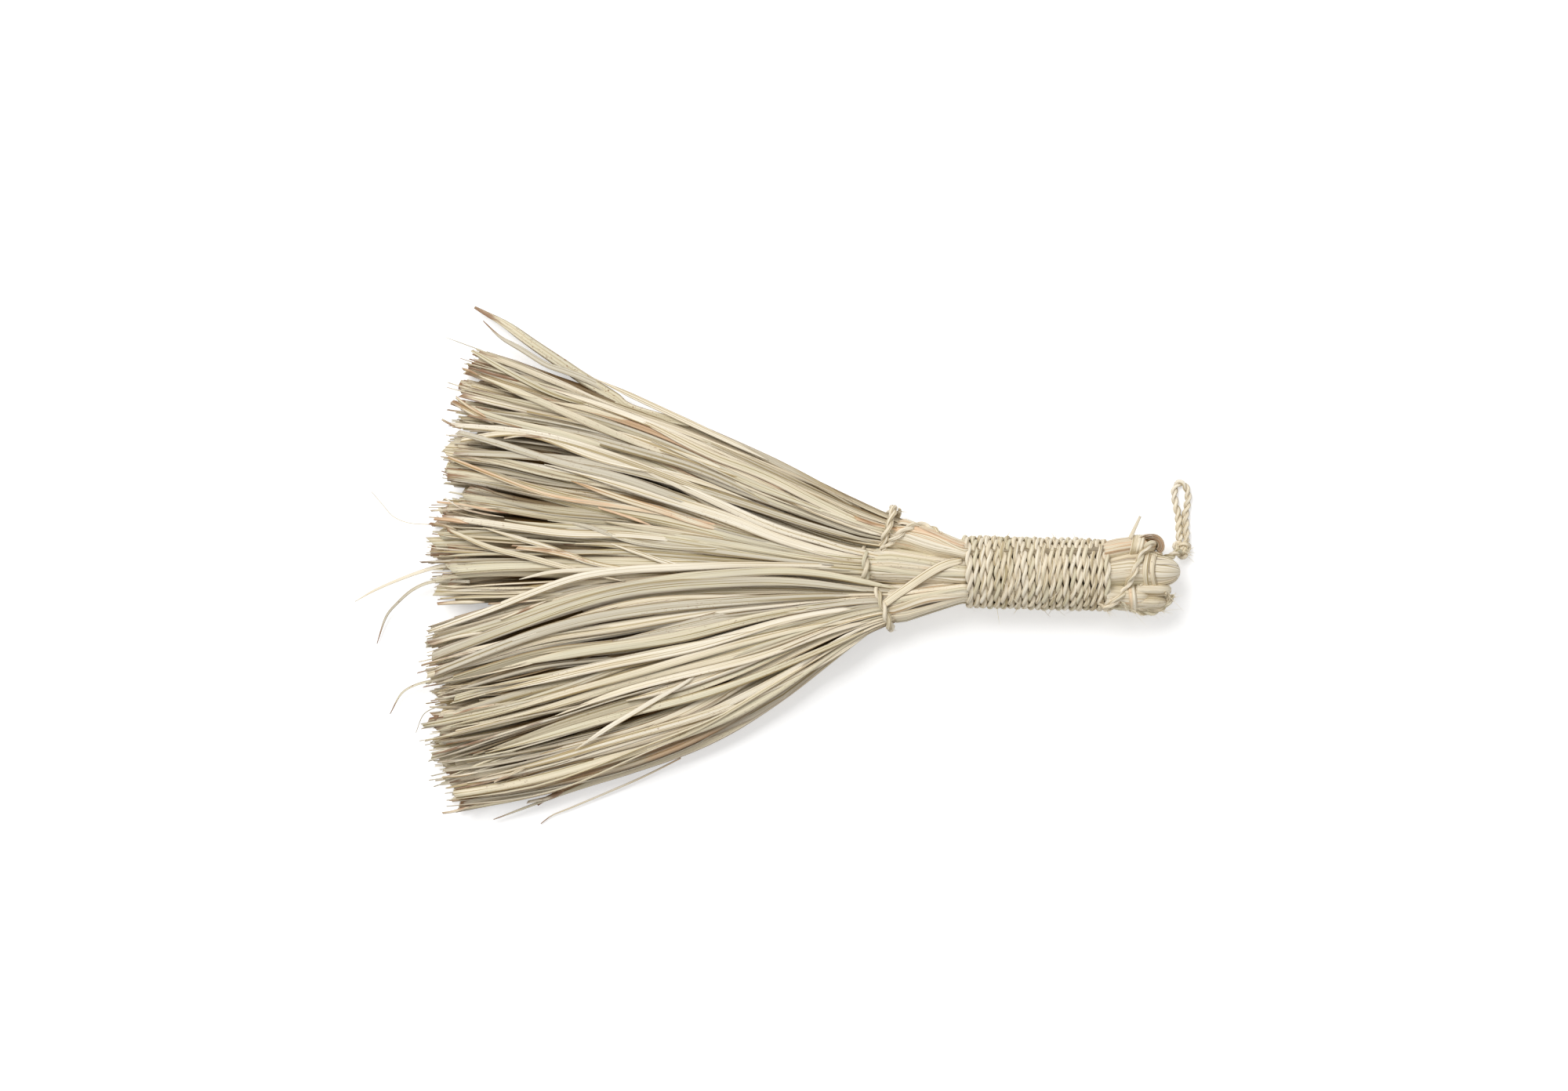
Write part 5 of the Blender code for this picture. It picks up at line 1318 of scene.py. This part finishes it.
# Ropes are drawn wider than their cord, by these shares, because two plies fill less than a round.
# Short cords are twisted tighter, and their twist is this share of the usual one
BINDING_DRAWN = 1.22
TIE_DRAWN = 1.25
NECK_LINK_DRAWN = 1.18
BUTT_DRAWN = 1.1
LINK_DRAWN = 1.15
LOOP_DRAWN = 1.18
TIE_TWIST = 0.9
LASHING_TWIST = 0.95
EDGE_TWIST = 0.7
LOOP_TWIST = 0.6
KNOT_TWIST = 0.55

# Binding: points to a turn, how far its turns stray, its frays, and how far out they leave it
TURN_POINTS = 48
STRAY_ALONG = 0.22 * MM
STRAY_OUT = 0.25 * MM
BINDING_FRAYS = 90
FRAY_OUT = 1.2 * MM


class BROOM_OT_binding(bpy.types.Operator):
    """The two-ply cord wound round the handle, with its frayed fibres"""
    bl_idname = "broom.binding"
    bl_label = "Handle binding"

    def execute(self, context):
        size = sizes()
        leaf = LeafMesh(90)
        radius = GRIP_RADIUS - size.binding_cord / 2
        turns = np.linspace(0, size.binding_turns, size.binding_turns * TURN_POINTS + 1)
        angle = math.tau * turns - math.pi / 2
        x = BINDING_START + size.binding_cord / 2 + size.binding_pitch * turns
        x = x + STRAY_ALONG * smooth_noise(leaf.chance, len(x), 3)
        reach = radius + STRAY_OUT * smooth_noise(leaf.chance, len(x), 3)
        y = axis_y(x) + reach * np.cos(angle)
        z = np.maximum(AXIS_Z + reach * np.sin(angle), size.binding_cord / 2)
        path = np.column_stack((x, y, z))
        outward = np.column_stack((np.zeros(len(x)), np.cos(angle), np.sin(angle)))
        leaf.rope(path, size.binding_cord * BINDING_DRAWN, size.twist, normals=outward, sides=8,
                  tint=0.59, spread=0.35, flatten=0.95, loose=0.15 * MM, uneven=1.2)
        for _ in range(BINDING_FRAYS):
            place = leaf.chance.randrange(2, len(path) - 2)
            ahead = path[place + 2] - path[place - 2]
            away = outward[place] * np.linalg.norm(ahead) * leaf.chance.uniform(0.2, 0.9)
            leaf.fray(path[place] + outward[place] * FRAY_OUT, ahead + away,
                      leaf.chance.uniform(2, 6) * MM)
        leaf.finish("handle_binding_cord", cord_material("binding cord"),
                    ["handle_binding"], recalc=True)
        return {"FINISHED"}


# Neck ties: centre in millimetres, half width, how far the tie leans across the neck, and turns.
# TIE_STEP is how far a whole turn moves along, and TIE_FRAYS the points where fibres leave the cord
TIE_POINTS = 60
TIE_STEP = 4.1 * MM
TIE_SLACK = 1.07
TIE_FRAYS = (2, 3, 12, 30, 38, 45, 56, 57, 58, 57, 56, 58)
NECK_TIES = (
    ("upper_neck_tie", (64.9, 21.0), 7.8, 0.40, 1.35),
    ("middle_neck_tie", (52.7, 0.9), 6.6, 0.06, 1.25),
    ("lower_neck_tie", (62.0, -21.6), 9.0, -0.30, 1.25),
)


class BROOM_OT_ties(bpy.types.Operator):
    """The cords tied round the necks of the bundles"""
    bl_idname = "broom.ties"
    bl_label = "Neck ties"

    def execute(self, context):
        size = sizes()
        material = cord_material("tie cord")
        for number, (name, (x0, y0), half_width, lean, turns) in enumerate(NECK_TIES):
            leaf = LeafMesh(100 + number)
            turn = np.linspace(-turns / 2, turns / 2, TIE_POINTS)
            angle = math.tau * turn + math.pi / 2
            half_y = half_width * MM * TIE_SLACK + size.tie_cord / 2
            half_z = NECK_HALF * TIE_SLACK + size.tie_cord / 2
            y = half_y * np.cos(angle)
            x = x0 * MM + lean * y + TIE_STEP * turn
            z = AXIS_Z + half_z * np.sin(angle)
            path = np.column_stack((x, y0 * MM + y, z))
            outward = np.column_stack((np.zeros(TIE_POINTS), np.cos(angle), np.sin(angle)))
            leaf.rope(path, size.tie_cord * TIE_DRAWN, size.twist * TIE_TWIST, normals=outward,
                      sides=9, tint=0.55, spread=0.25)
            for place in TIE_FRAYS:
                ahead = outward[place] + np.array((leaf.chance.gauss(0, 0.6), -0.6, 0.2))
                leaf.fray(path[place], ahead, leaf.chance.uniform(2, 5) * MM)
            leaf.finish(f"{name}_cord", material, [name], recalc=True)
        return {"FINISHED"}


# Routes of the link cord and of the flat strap over the necks, with the strap's points, heights and
# widths in millimetres along it
NECK_LINK = ((1124, 702), (1131, 695), (1142, 686), (1154, 676), (1165, 671), (1178, 671), (1190, 675),
             (1200, 681))
CROSS_STRAP = ((1124, 774), (1133, 766), (1147, 757), (1160, 748), (1173, 739), (1185, 731), (1196, 724),
               (1206, 719), (1216, 716), (1228, 715))
STRAP_POINTS = 24
STRAP_LIFTS = ((0, 0.08, 0.75, 1), (-2.6, 0, 0, 1.4))
STRAP_WIDTHS = ((0, 0.15, 0.75, 0.9, 1), (3.6, 4.4, 5.2, 4.6, 2.8))


class BROOM_OT_neck_cords(bpy.types.Operator):
    """The cord that links the upper tie to its stem, and the flat strap across the necks"""
    bl_idname = "broom.neck_cords"
    bl_label = "Neck cord and strap"

    def execute(self, context):
        size = sizes()
        leaf = LeafMesh(110)
        leaf.rope(rested(NECK_LINK, 2.0 * MM), size.tie_cord * NECK_LINK_DRAWN,
                  size.twist * TIE_TWIST, tint=0.55, spread=0.25)
        leaf.finish("neck_link_rope", cord_material("link cord"), ["neck_link_cord"],
                    recalc=True)
        leaf = LeafMesh(111)
        along = np.linspace(0, 1, STRAP_POINTS)
        path = settled(even_line(rested(CROSS_STRAP, 2.6 * MM), STRAP_POINTS), 3)
        path[:, 2] += np.interp(along, *STRAP_LIFTS) * MM
        width = np.interp(along, *STRAP_WIDTHS) * MM
        leaf.strip(path, width, roll=0.05, fold=0.04, tint=0.66, columns=4)
        leaf.finish("neck_cross_strip", leaf_material("leaf strap", fan_stops()),
                    ["neck_cross_strap"], thickness=size.leaf_thickness * 1.6)
        return {"FINISHED"}


# Butt bands: the stem that carries each, its X places on top, how far it leans and bulges and its
# width in millimetres, the turns where it starts and ends, and its tint
BUTT_BANDS = (
    ("upper_butt_band", "upper", (195.0, 196.5, 198.2, 199.6), 1.4, -0.6, 2.1, (0.06, 0.60), 0.74),
    ("lower_butt_band", "lower", (195.2,), -0.8, -0.6, 3.9, (-0.10, 0.50), 0.70),
    ("middle_butt_band_1", "middle", (203.4,), 0.5, -2.4, 2.9, (-0.02, 0.48), 0.64),
    ("middle_butt_band_2", "middle", (207.6,), -0.2, -2.8, 3.0, (-0.02, 0.48), 0.70),
)
BAND_POINTS = 40
BAND_LAYERS = 2

# The sliver that stands off the upper band, with its heights in millimetres
SLIVER = ((1438, 687), (1442, 679), (1447, 669), (1452, 659))
SLIVER_HEIGHTS = (27, 26, 24, 22)
SLIVER_POINTS = 10

# Short strips beside the first middle band: turn, where each ends and its height, in millimetres
BAND_STRIPS = ((0.45, 211.0, 1.9), (0.405, 208.0, 1.6))
BAND_STRIP_POINTS = 12


class BROOM_OT_butt_bands(bpy.types.Operator):
    """The leaf bands round the stems behind the binding"""
    bl_idname = "broom.butt_bands"
    bl_label = "Butt bands"

    def execute(self, context):
        material = leaf_material("leaf band", fan_stops())
        for number, (name, stem, places, lean, bulge, width, turns, tint) in enumerate(BUTT_BANDS):
            leaf = LeafMesh(120 + number)
            chance = leaf.chance
            for place in places:
                for layer in range(BAND_LAYERS):
                    turn = np.linspace(turns[0], turns[1] + 0.55 * layer, BAND_POINTS)
                    across = -np.cos(turn * math.tau)
                    x = place + lean * across + bulge * (1 - across ** 2) + chance.uniform(-0.3, 0.3)
                    x = x * MM
                    waver = 1 + 0.10 * smooth_noise(chance, BAND_POINTS, 4)
                    wide = width * MM * waver * (1 - 0.3 * layer)
                    leaf.belt(SKINS[stem], x, turn, wide, (1.5 - 0.5 * layer) * MM,
                              min(tint + chance.uniform(-0.12, 0.12), 0.9))
            if stem == "upper":
                path = raised(SLIVER, SLIVER_HEIGHTS, SLIVER_POINTS)
                leaf.strip(path, np.linspace(2.2, 1.3, SLIVER_POINTS) * MM, fold=0.1, tint=0.76,
                           columns=2)
            count = BAND_STRIP_POINTS
            if name == "middle_butt_band_1":
                for turn, last, grow in BAND_STRIPS:
                    x = np.linspace(200.5, last, count) * MM
                    leaf.wrap(SKINS[stem], x, turn + 0.02 * np.sin(np.linspace(0, 3, count)),
                              np.full(count, 2.6 * MM), np.full(count, grow * MM), 0.58)
            if stem == "lower":
                x = np.linspace(198.5, 203.2, count) * MM
                leaf.wrap(FOLD_SKINS["lower_butt_fold_1"], x, np.linspace(0.34, 0.42, count),
                          np.full(count, 2.4 * MM), np.full(count, 1.6 * MM), 0.7)
            leaf.finish(f"{name}_leaf", material, [name],
                        thickness=sizes().leaf_thickness * 1.8)
        return {"FINISHED"}


# The curl at the end of the upper bundle, as the photograph shows its outer layer, and the tints of
# its layers from the outer one in. Each lies nearer to the centre than the last, and is narrower
CURL = ((1450, 686), (1458, 683), (1467, 682), (1474, 684), (1479, 689), (1481, 696), (1480, 702),
        (1476, 706))
CURL_CENTRE = np.array((1469, 696))
CURL_TINTS = (0.93, 0.98, 0.74, 1.0, 0.66)
CURL_NEARER = 0.14

# Folded ends: skin, where each starts, strips round it, their layers, and tint
FOLDS = (
    ("middle_butt_fold", SKINS["middle"], NOSE_START, 0, 0, 0.78),
    ("lower_butt_fold_1", FOLD_SKINS["lower_butt_fold_1"], 196.5 * MM, 7, 2, 0.74),
    ("lower_butt_fold_2", FOLD_SKINS["lower_butt_fold_2"], 195.0 * MM, 7, 2, 0.72),
)

# Strips over the rounded end of the middle bundle: turn, how far they sway, width, end and tint
NOSE_STRIPS = (
    (0.46, -0.05, 4.5, 219.5, 0.44), (0.40, 0.02, 4.0, 218.5, 0.66), (0.33, 0.05, 5.0, 219.0, 0.78),
    (0.10, 0.03, 4.5, 218.5, 0.62), (0.02, 0.06, 4.0, 219.0, 0.72),
)


class BROOM_OT_butt_folds(bpy.types.Operator):
    """The leaf ends folded over at the butt, and the curled end of the upper bundle"""
    bl_idname = "broom.butt_folds"
    bl_label = "Folded ends"

    def execute(self, context):
        material = leaf_material("folded palm leaf", fan_stops())
        for number, (name, skin, start, strips, layers, tint) in enumerate(FOLDS):
            leaf = LeafMesh(130 + number)
            dress_skin(leaf, skin, start, skin.nose[1], tint, strips, layers=layers, spread=0.08,
                       sway=0.02)
            packed_core(leaf, skin, start, skin.nose[1] - 0.2 * MM, tint, 0.1 * MM, 0.05)
            if skin is SKINS["middle"]:
                for turn, sway, width, last, shade in NOSE_STRIPS:
                    x = skin.stations(start, last * MM, SKIN_POINTS)
                    way = turn + sway * np.linspace(0, 1, SKIN_POINTS) ** 2
                    leaf.wrap(skin, x, way, np.full(SKIN_POINTS, width * MM),
                              np.linspace(0.9, 0.6, SKIN_POINTS) * MM, shade)
            leaf.finish(f"{name}_leaf", material, [name], thickness=sizes().leaf_thickness)
        leaf = LeafMesh(140)
        for layer, tint in enumerate(CURL_TINTS):
            route = CURL_CENTRE + (np.array(CURL) - CURL_CENTRE) * (1 - CURL_NEARER * layer)
            path = even_line([spot(*place, 20.5 + 0.5 * layer) for place in route], 30)
            outward = np.cross(np.gradient(path, axis=0), UP)
            # Each layer of the curl further in takes a little more painted shade
            leaf.strip(path, (14.0 - 1.2 * layer) * MM, normals=outward, fold=0.05, tint=tint,
                       dry=0.28 if tint > 0.95 else 0.05, columns=4, deep=0.08 * layer)
        # The curl's core, grey and given full painted shade, fills the dark inside of the curl
        packed_core(leaf, CURL_SKIN, CURL_SKIN.rows[0, 0], CURL_SKIN.nose[1], 0.1, 0.0, 1.0)
        leaf.finish("upper_butt_curl_leaf", material, ["upper_butt_curl"],
                    thickness=sizes().leaf_thickness * 1.5)
        return {"FINISHED"}


# Routes of the lashing, of the two cords along the butt's lower edge, and of the turn below them
LASHING = ((1408, 777), (1414, 773), (1426, 764), (1436, 750), (1446, 732), (1452, 716), (1459, 702),
           (1467, 694), (1475, 692), (1480, 697))
EDGE_CORDS = (
    ((1402, 772), (1411, 777), (1426, 773), (1440, 773), (1451, 780), (1466, 783), (1480, 778), (1491, 769),
     (1497, 759)),
    ((1430, 769), (1444, 776), (1458, 776), (1472, 779), (1486, 772), (1492, 761), (1486, 755)),
)
EDGE_POINTS = 40
EDGE_FRAYS = 34
EDGE_DRAWN = (0.95, 0.7)
LOW_TURN = ((1466, 776), (1476, 772), (1484, 765), (1487, 757), (1482, 748))
LOW_TURN_HEIGHT = 8.5


class BROOM_OT_butt_cords(bpy.types.Operator):
    """The cord across the butt, and the one along its lower edge"""
    bl_idname = "broom.butt_cords"
    bl_label = "Butt cords"

    def execute(self, context):
        size = sizes()
        material = cord_material("butt cord")
        leaf = LeafMesh(150)
        leaf.rope(rested(LASHING, 2.1 * MM), size.tie_cord * BUTT_DRAWN, size.twist * LASHING_TWIST,
                  tint=0.56, spread=0.25)
        leaf.finish("butt_lashing_cord", material, ["butt_lashing"], recalc=True)
        leaf = LeafMesh(151)
        for number, route in enumerate(EDGE_CORDS):
            path = settled(even_line(rested(route, (1.3 + 0.8 * number) * MM), EDGE_POINTS), 3)
            leaf.rope(path, size.tie_cord * EDGE_DRAWN[number], size.twist * EDGE_TWIST, tint=0.42,
                      spread=0.3, uneven=1.0)
            for _ in range(EDGE_FRAYS):
                place = leaf.chance.randrange(2, EDGE_POINTS - 2)
                ahead = path[place + 1] - path[place - 1]
                leaf.fray(path[place], ahead + np.array((0, -0.4, 0.2)) * np.linalg.norm(ahead),
                          leaf.chance.uniform(3, 8) * MM)
        below = even_line([spot(*place, LOW_TURN_HEIGHT) for place in LOW_TURN], 24)
        leaf.rope(below, size.tie_cord * BUTT_DRAWN, size.twist * EDGE_TWIST, tint=0.3, spread=0.2)
        leaf.finish("butt_edge_rope", material, ["butt_edge_cord"], recalc=True)
        return {"FINISHED"}


# Hanging loop: its route is that of the part's source, from the knot round the eye and back, and
# the link's runs from the butt to the knot. KNOT_SHAPE is the size of the knot's lobes in
# millimetres to a unit
KNOT = np.array((224.45, 8.868, 4.3)) * MM
KNOT_RADIUS = 4.3 * MM
LOOP_LENGTH = 35.9 * MM
EYE_HALF = 3.7 * MM
LEG_HALF = 2.25 * MM
LOOP_LOW = 1.8 * MM
LOOP_LEAN = 0.04
LINK_ROUTE = np.array(((208.9, 4.2, 19.0), (212.6, 4.4, 18.6), (217.0, 5.6, 15.6), (220.0, 7.4, 11.6),
                       (221.8, 8.5, 7.9))) * MM
KNOT_SHAPE = (1.2, 1.25, 0.85)
KNOT_SHIFT = np.array((-1.0, 0.3, 0.0)) * MM
KNOT_CORD = 4.3 * MM
KNOT_POINTS = 60
KNOT_FRAYS = 16
KNOT_FRAY_OUT = 3.6 * MM
LOOP_POINTS = 90
LOOP_FRAYS = 26


def loop_route():
    """The middle line of the loop's cord, as the part's source lays it."""
    near = KNOT_RADIUS + 0.3 * MM
    half = [(LEG_HALF * 1.05, near, (LOOP_LOW - KNOT[2]) * 0.25)]
    for along, spread, lift in ((0.22, 0.0, 0.35), (0.36, 0.0, 0.0), (0.52, 0.0, 0.0), (0.66, 0.55, 0.0)):
        half.append((LEG_HALF + (EYE_HALF - LEG_HALF) * spread, LOOP_LENGTH * along,
                     (LOOP_LOW - KNOT[2]) * (1 - lift)))
    for along, share in ((0.80, 1.0), (0.90, 0.92), (0.975, 0.55)):
        half.append((EYE_HALF * share, LOOP_LENGTH * along, LOOP_LOW - KNOT[2]))
    other = [(-x, y, z) for x, y, z in half[::-1]]
    route = np.array(half + [(0, LOOP_LENGTH, LOOP_LOW - KNOT[2])] + other)
    route[:, 0] -= route[:, 1] * LOOP_LEAN
    return route + KNOT


class BROOM_OT_hanging_loop(bpy.types.Operator):
    """The link, the knot and the loop that the broom hangs from"""
    bl_idname = "broom.hanging_loop"
    bl_label = "Hanging loop"

    def execute(self, context):
        size = sizes()
        material = cord_material("loop cord")
        leaf = LeafMesh(160)
        leaf.rope(LINK_ROUTE, size.loop_cord * LINK_DRAWN, size.twist * LOOP_TWIST, tint=0.5,
                  spread=0.3)
        leaf.finish("loop_link_cord", material, ["loop_link"], recalc=True)
        leaf = LeafMesh(161)
        turn = np.linspace(0, math.tau, KNOT_POINTS)
        lobes = np.column_stack((np.sin(turn) + 2 * np.sin(2 * turn),
                                 np.cos(turn) - 2 * np.cos(2 * turn), -1.5 * np.sin(3 * turn)))
        centre = KNOT + KNOT_SHIFT
        leaf.rope(centre + lobes * KNOT_SHAPE * MM, KNOT_CORD, size.twist * KNOT_TWIST, tint=0.55,
                  sides=8, spread=0.3)
        for _ in range(KNOT_FRAYS):
            ahead = np.array((leaf.chance.uniform(-0.4, 1), leaf.chance.uniform(-0.8, 0.3),
                              leaf.chance.random()))
            leaf.fray(centre + KNOT_FRAY_OUT * ahead / np.linalg.norm(ahead), ahead,
                      leaf.chance.uniform(2, 4) * MM)
        knot = leaf.finish("loop_knot_cord", material, ["loop_knot"], body="knot", recalc=True)
        leaf = LeafMesh(162)
        path = even_line(loop_route(), LOOP_POINTS)
        out = path[:, 1] - KNOT[1]
        middle = KNOT[0] - LOOP_LEAN * out
        near = np.interp(out, (0, 0.5 * LOOP_LENGTH, 0.65 * LOOP_LENGTH), (0.8, 0.84, 1.0))
        drawn = np.column_stack((middle + (path[:, 0] - middle) * near, path[:, 1:]))
        leaf.rope(drawn, size.loop_cord * LOOP_DRAWN, size.twist * LOOP_TWIST, tint=0.84, sides=8,
                  spread=0.25)
        loop = leaf.finish("hanging_loop_cord", material, ["hanging_loop"], body="loop",
                           recalc=True)
        # The loop's frayed fibres, and the ends of its legs, which run on into the knot
        leaf = LeafMesh(163)
        for _ in range(LOOP_FRAYS):
            place = leaf.chance.randrange(2, len(path) - 2)
            leaf.fray(drawn[place], drawn[place + 2] - drawn[place - 2],
                      leaf.chance.uniform(2, 5) * MM, 0.4)
        for end, inner in ((drawn[0], drawn[4]), (drawn[-1], drawn[-5])):
            heart = np.array((end[0] + (centre[0] - end[0]) * 0.5, centre[1], end[2]))
            leaf.rope(np.linspace(inner, end + (heart - end) * 0.75, 8), size.loop_cord,
                      size.twist * LOOP_TWIST, tint=0.7, sides=6)
        frays = leaf.finish("hanging_loop_fibres", material, [], body="loop", recalc=True)
        return {"FINISHED"}


# The white table and how far it lies under the frame's zero, the light from all round, and the
# lamps: place, size and power. Then the camera's sensor in millimetres, and how far it sees
TABLE_HALF = 30
TABLE_DROP = 0.2 * MM
TABLE_WHITE = (0.80, 0.80, 0.80, 1)
TABLE_GLOW = 0.40
ROUND_LIGHT = (1.0, 0.99, 0.975, 1)
ROUND_STRENGTH = 0.48
LAMPS = (
    ("key light", (-1.6, 2.0, 3.8), 2.2, 140.0),
    ("fill light", (1.8, -1.0, 3.6), 3.2, 12.0),
)
SENSOR_WIDTH = 36
FARTHEST_SEEN = 100


class BROOM_OT_stage(bpy.types.Operator):
    """The white table, the soft light and the camera straight above"""
    bl_idname = "broom.stage"
    bl_label = "Stage"

    def execute(self, context):
        scene = bpy.context.scene
        nodes = Nodes("white table")
        path = nodes.node("ShaderNodeLightPath")
        seen = nodes.maths("MAXIMUM", path.outputs["Is Camera Ray"],
                           nodes.maths("MAXIMUM", path.outputs["Is Glossy Ray"],
                                       path.outputs["Is Transmission Ray"]))
        nodes.shader.inputs["Base Color"].default_value = TABLE_WHITE
        nodes.shader.inputs["Roughness"].default_value = 1.0
        nodes.shader.inputs["Specular IOR Level"].default_value = 0.0
        nodes.shader.inputs["Emission Color"].default_value = (1, 1, 1, 1)
        nodes.join(nodes.maths("MULTIPLY", seen, TABLE_GLOW), nodes.shader.inputs["Emission Strength"])
        bm = bmesh.new()
        bmesh.ops.create_grid(bm, x_segments=1, y_segments=1, size=TABLE_HALF)
        bmesh.ops.translate(bm, verts=bm.verts, vec=(0, 0, -TABLE_DROP))
        mesh = bpy.data.meshes.new("table")
        bm.to_mesh(mesh)
        bm.free()
        table = bpy.data.objects.new("table", mesh)
        scene.collection.objects.link(table)
        mesh.materials.append(nodes.material)

        world = bpy.data.worlds.new("soft light")
        world.use_nodes = True
        scene.world = world
        tree = world.node_tree
        background = tree.nodes["Background"]
        background.inputs["Color"].default_value = ROUND_LIGHT
        path = tree.nodes.new("ShaderNodeLightPath")
        strength = tree.nodes.new("ShaderNodeMapRange")
        tree.links.new(path.outputs["Is Camera Ray"], strength.inputs["Value"])
        strength.inputs["To Min"].default_value = ROUND_STRENGTH
        strength.inputs["To Max"].default_value = 1.0
        tree.links.new(strength.outputs["Result"], background.inputs["Strength"])

        for name, place, size, power in LAMPS:
            light = bpy.data.lights.new(name, "AREA")
            light.size = size
            light.energy = power
            lamp = bpy.data.objects.new(name, light)
            lamp.location = place
            lamp.rotation_euler = (-Vector(place)).to_track_quat("-Z", "Y").to_euler()
            scene.collection.objects.link(lamp)

        camera = bpy.data.cameras.new("camera")
        seat = bpy.data.objects.new("camera", camera)
        centre = flat(PICTURE_SIZE[0] / 2, PICTURE_SIZE[1] / 2)
        seat.location = (*centre, CAMERA_HEIGHT)
        camera.sensor_width = SENSOR_WIDTH
        distance = CAMERA_HEIGHT - SHARP_HEIGHT
        camera.lens = camera.sensor_width * distance / (PICTURE_SIZE[0] * PICTURE_SCALE)
        camera.clip_end = FARTHEST_SEEN
        scene.collection.objects.link(seat)
        scene.camera = seat
        scene.view_settings.view_transform = "Standard"
        return {"FINISHED"}


class BROOM_PT_panel(bpy.types.Panel):
    bl_label = "Palm broom"
    bl_idname = "BROOM_PT_panel"
    bl_space_type = "VIEW_3D"
    bl_region_type = "UI"
    bl_category = "Palm broom"

    def draw(self, context):
        column = self.layout.column()
        for group in (context.scene.broom_sizes, context.scene.broom_colours):
            for key in group.__annotations__:
                column.prop(group, key)
        for operator in OPERATORS:
            column.operator(operator.bl_idname)


OPERATORS = (BROOM_OT_stage, BROOM_OT_hanging_loop, BROOM_OT_leaves, BROOM_OT_loose_strips, BROOM_OT_stems,
             BROOM_OT_binding, BROOM_OT_ties, BROOM_OT_neck_cords, BROOM_OT_butt_bands, BROOM_OT_butt_folds,
             BROOM_OT_butt_cords)
CLASSES = (BroomSizes, BroomColours, *OPERATORS, BROOM_PT_panel)


def register():
    for each in CLASSES:
        bpy.utils.register_class(each)
    bpy.types.Scene.broom_sizes = bpy.props.PointerProperty(type=BroomSizes)
    bpy.types.Scene.broom_colours = bpy.props.PointerProperty(type=BroomColours)


def unregister():
    del bpy.types.Scene.broom_sizes
    del bpy.types.Scene.broom_colours
    for each in reversed(CLASSES):
        bpy.utils.unregister_class(each)


def main():
    """Registers the add-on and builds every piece."""
    register()
    for operator in OPERATORS:
        area, name = operator.bl_idname.split(".")
        getattr(getattr(bpy.ops, area), name)()


if __name__ == "__main__":
    main()
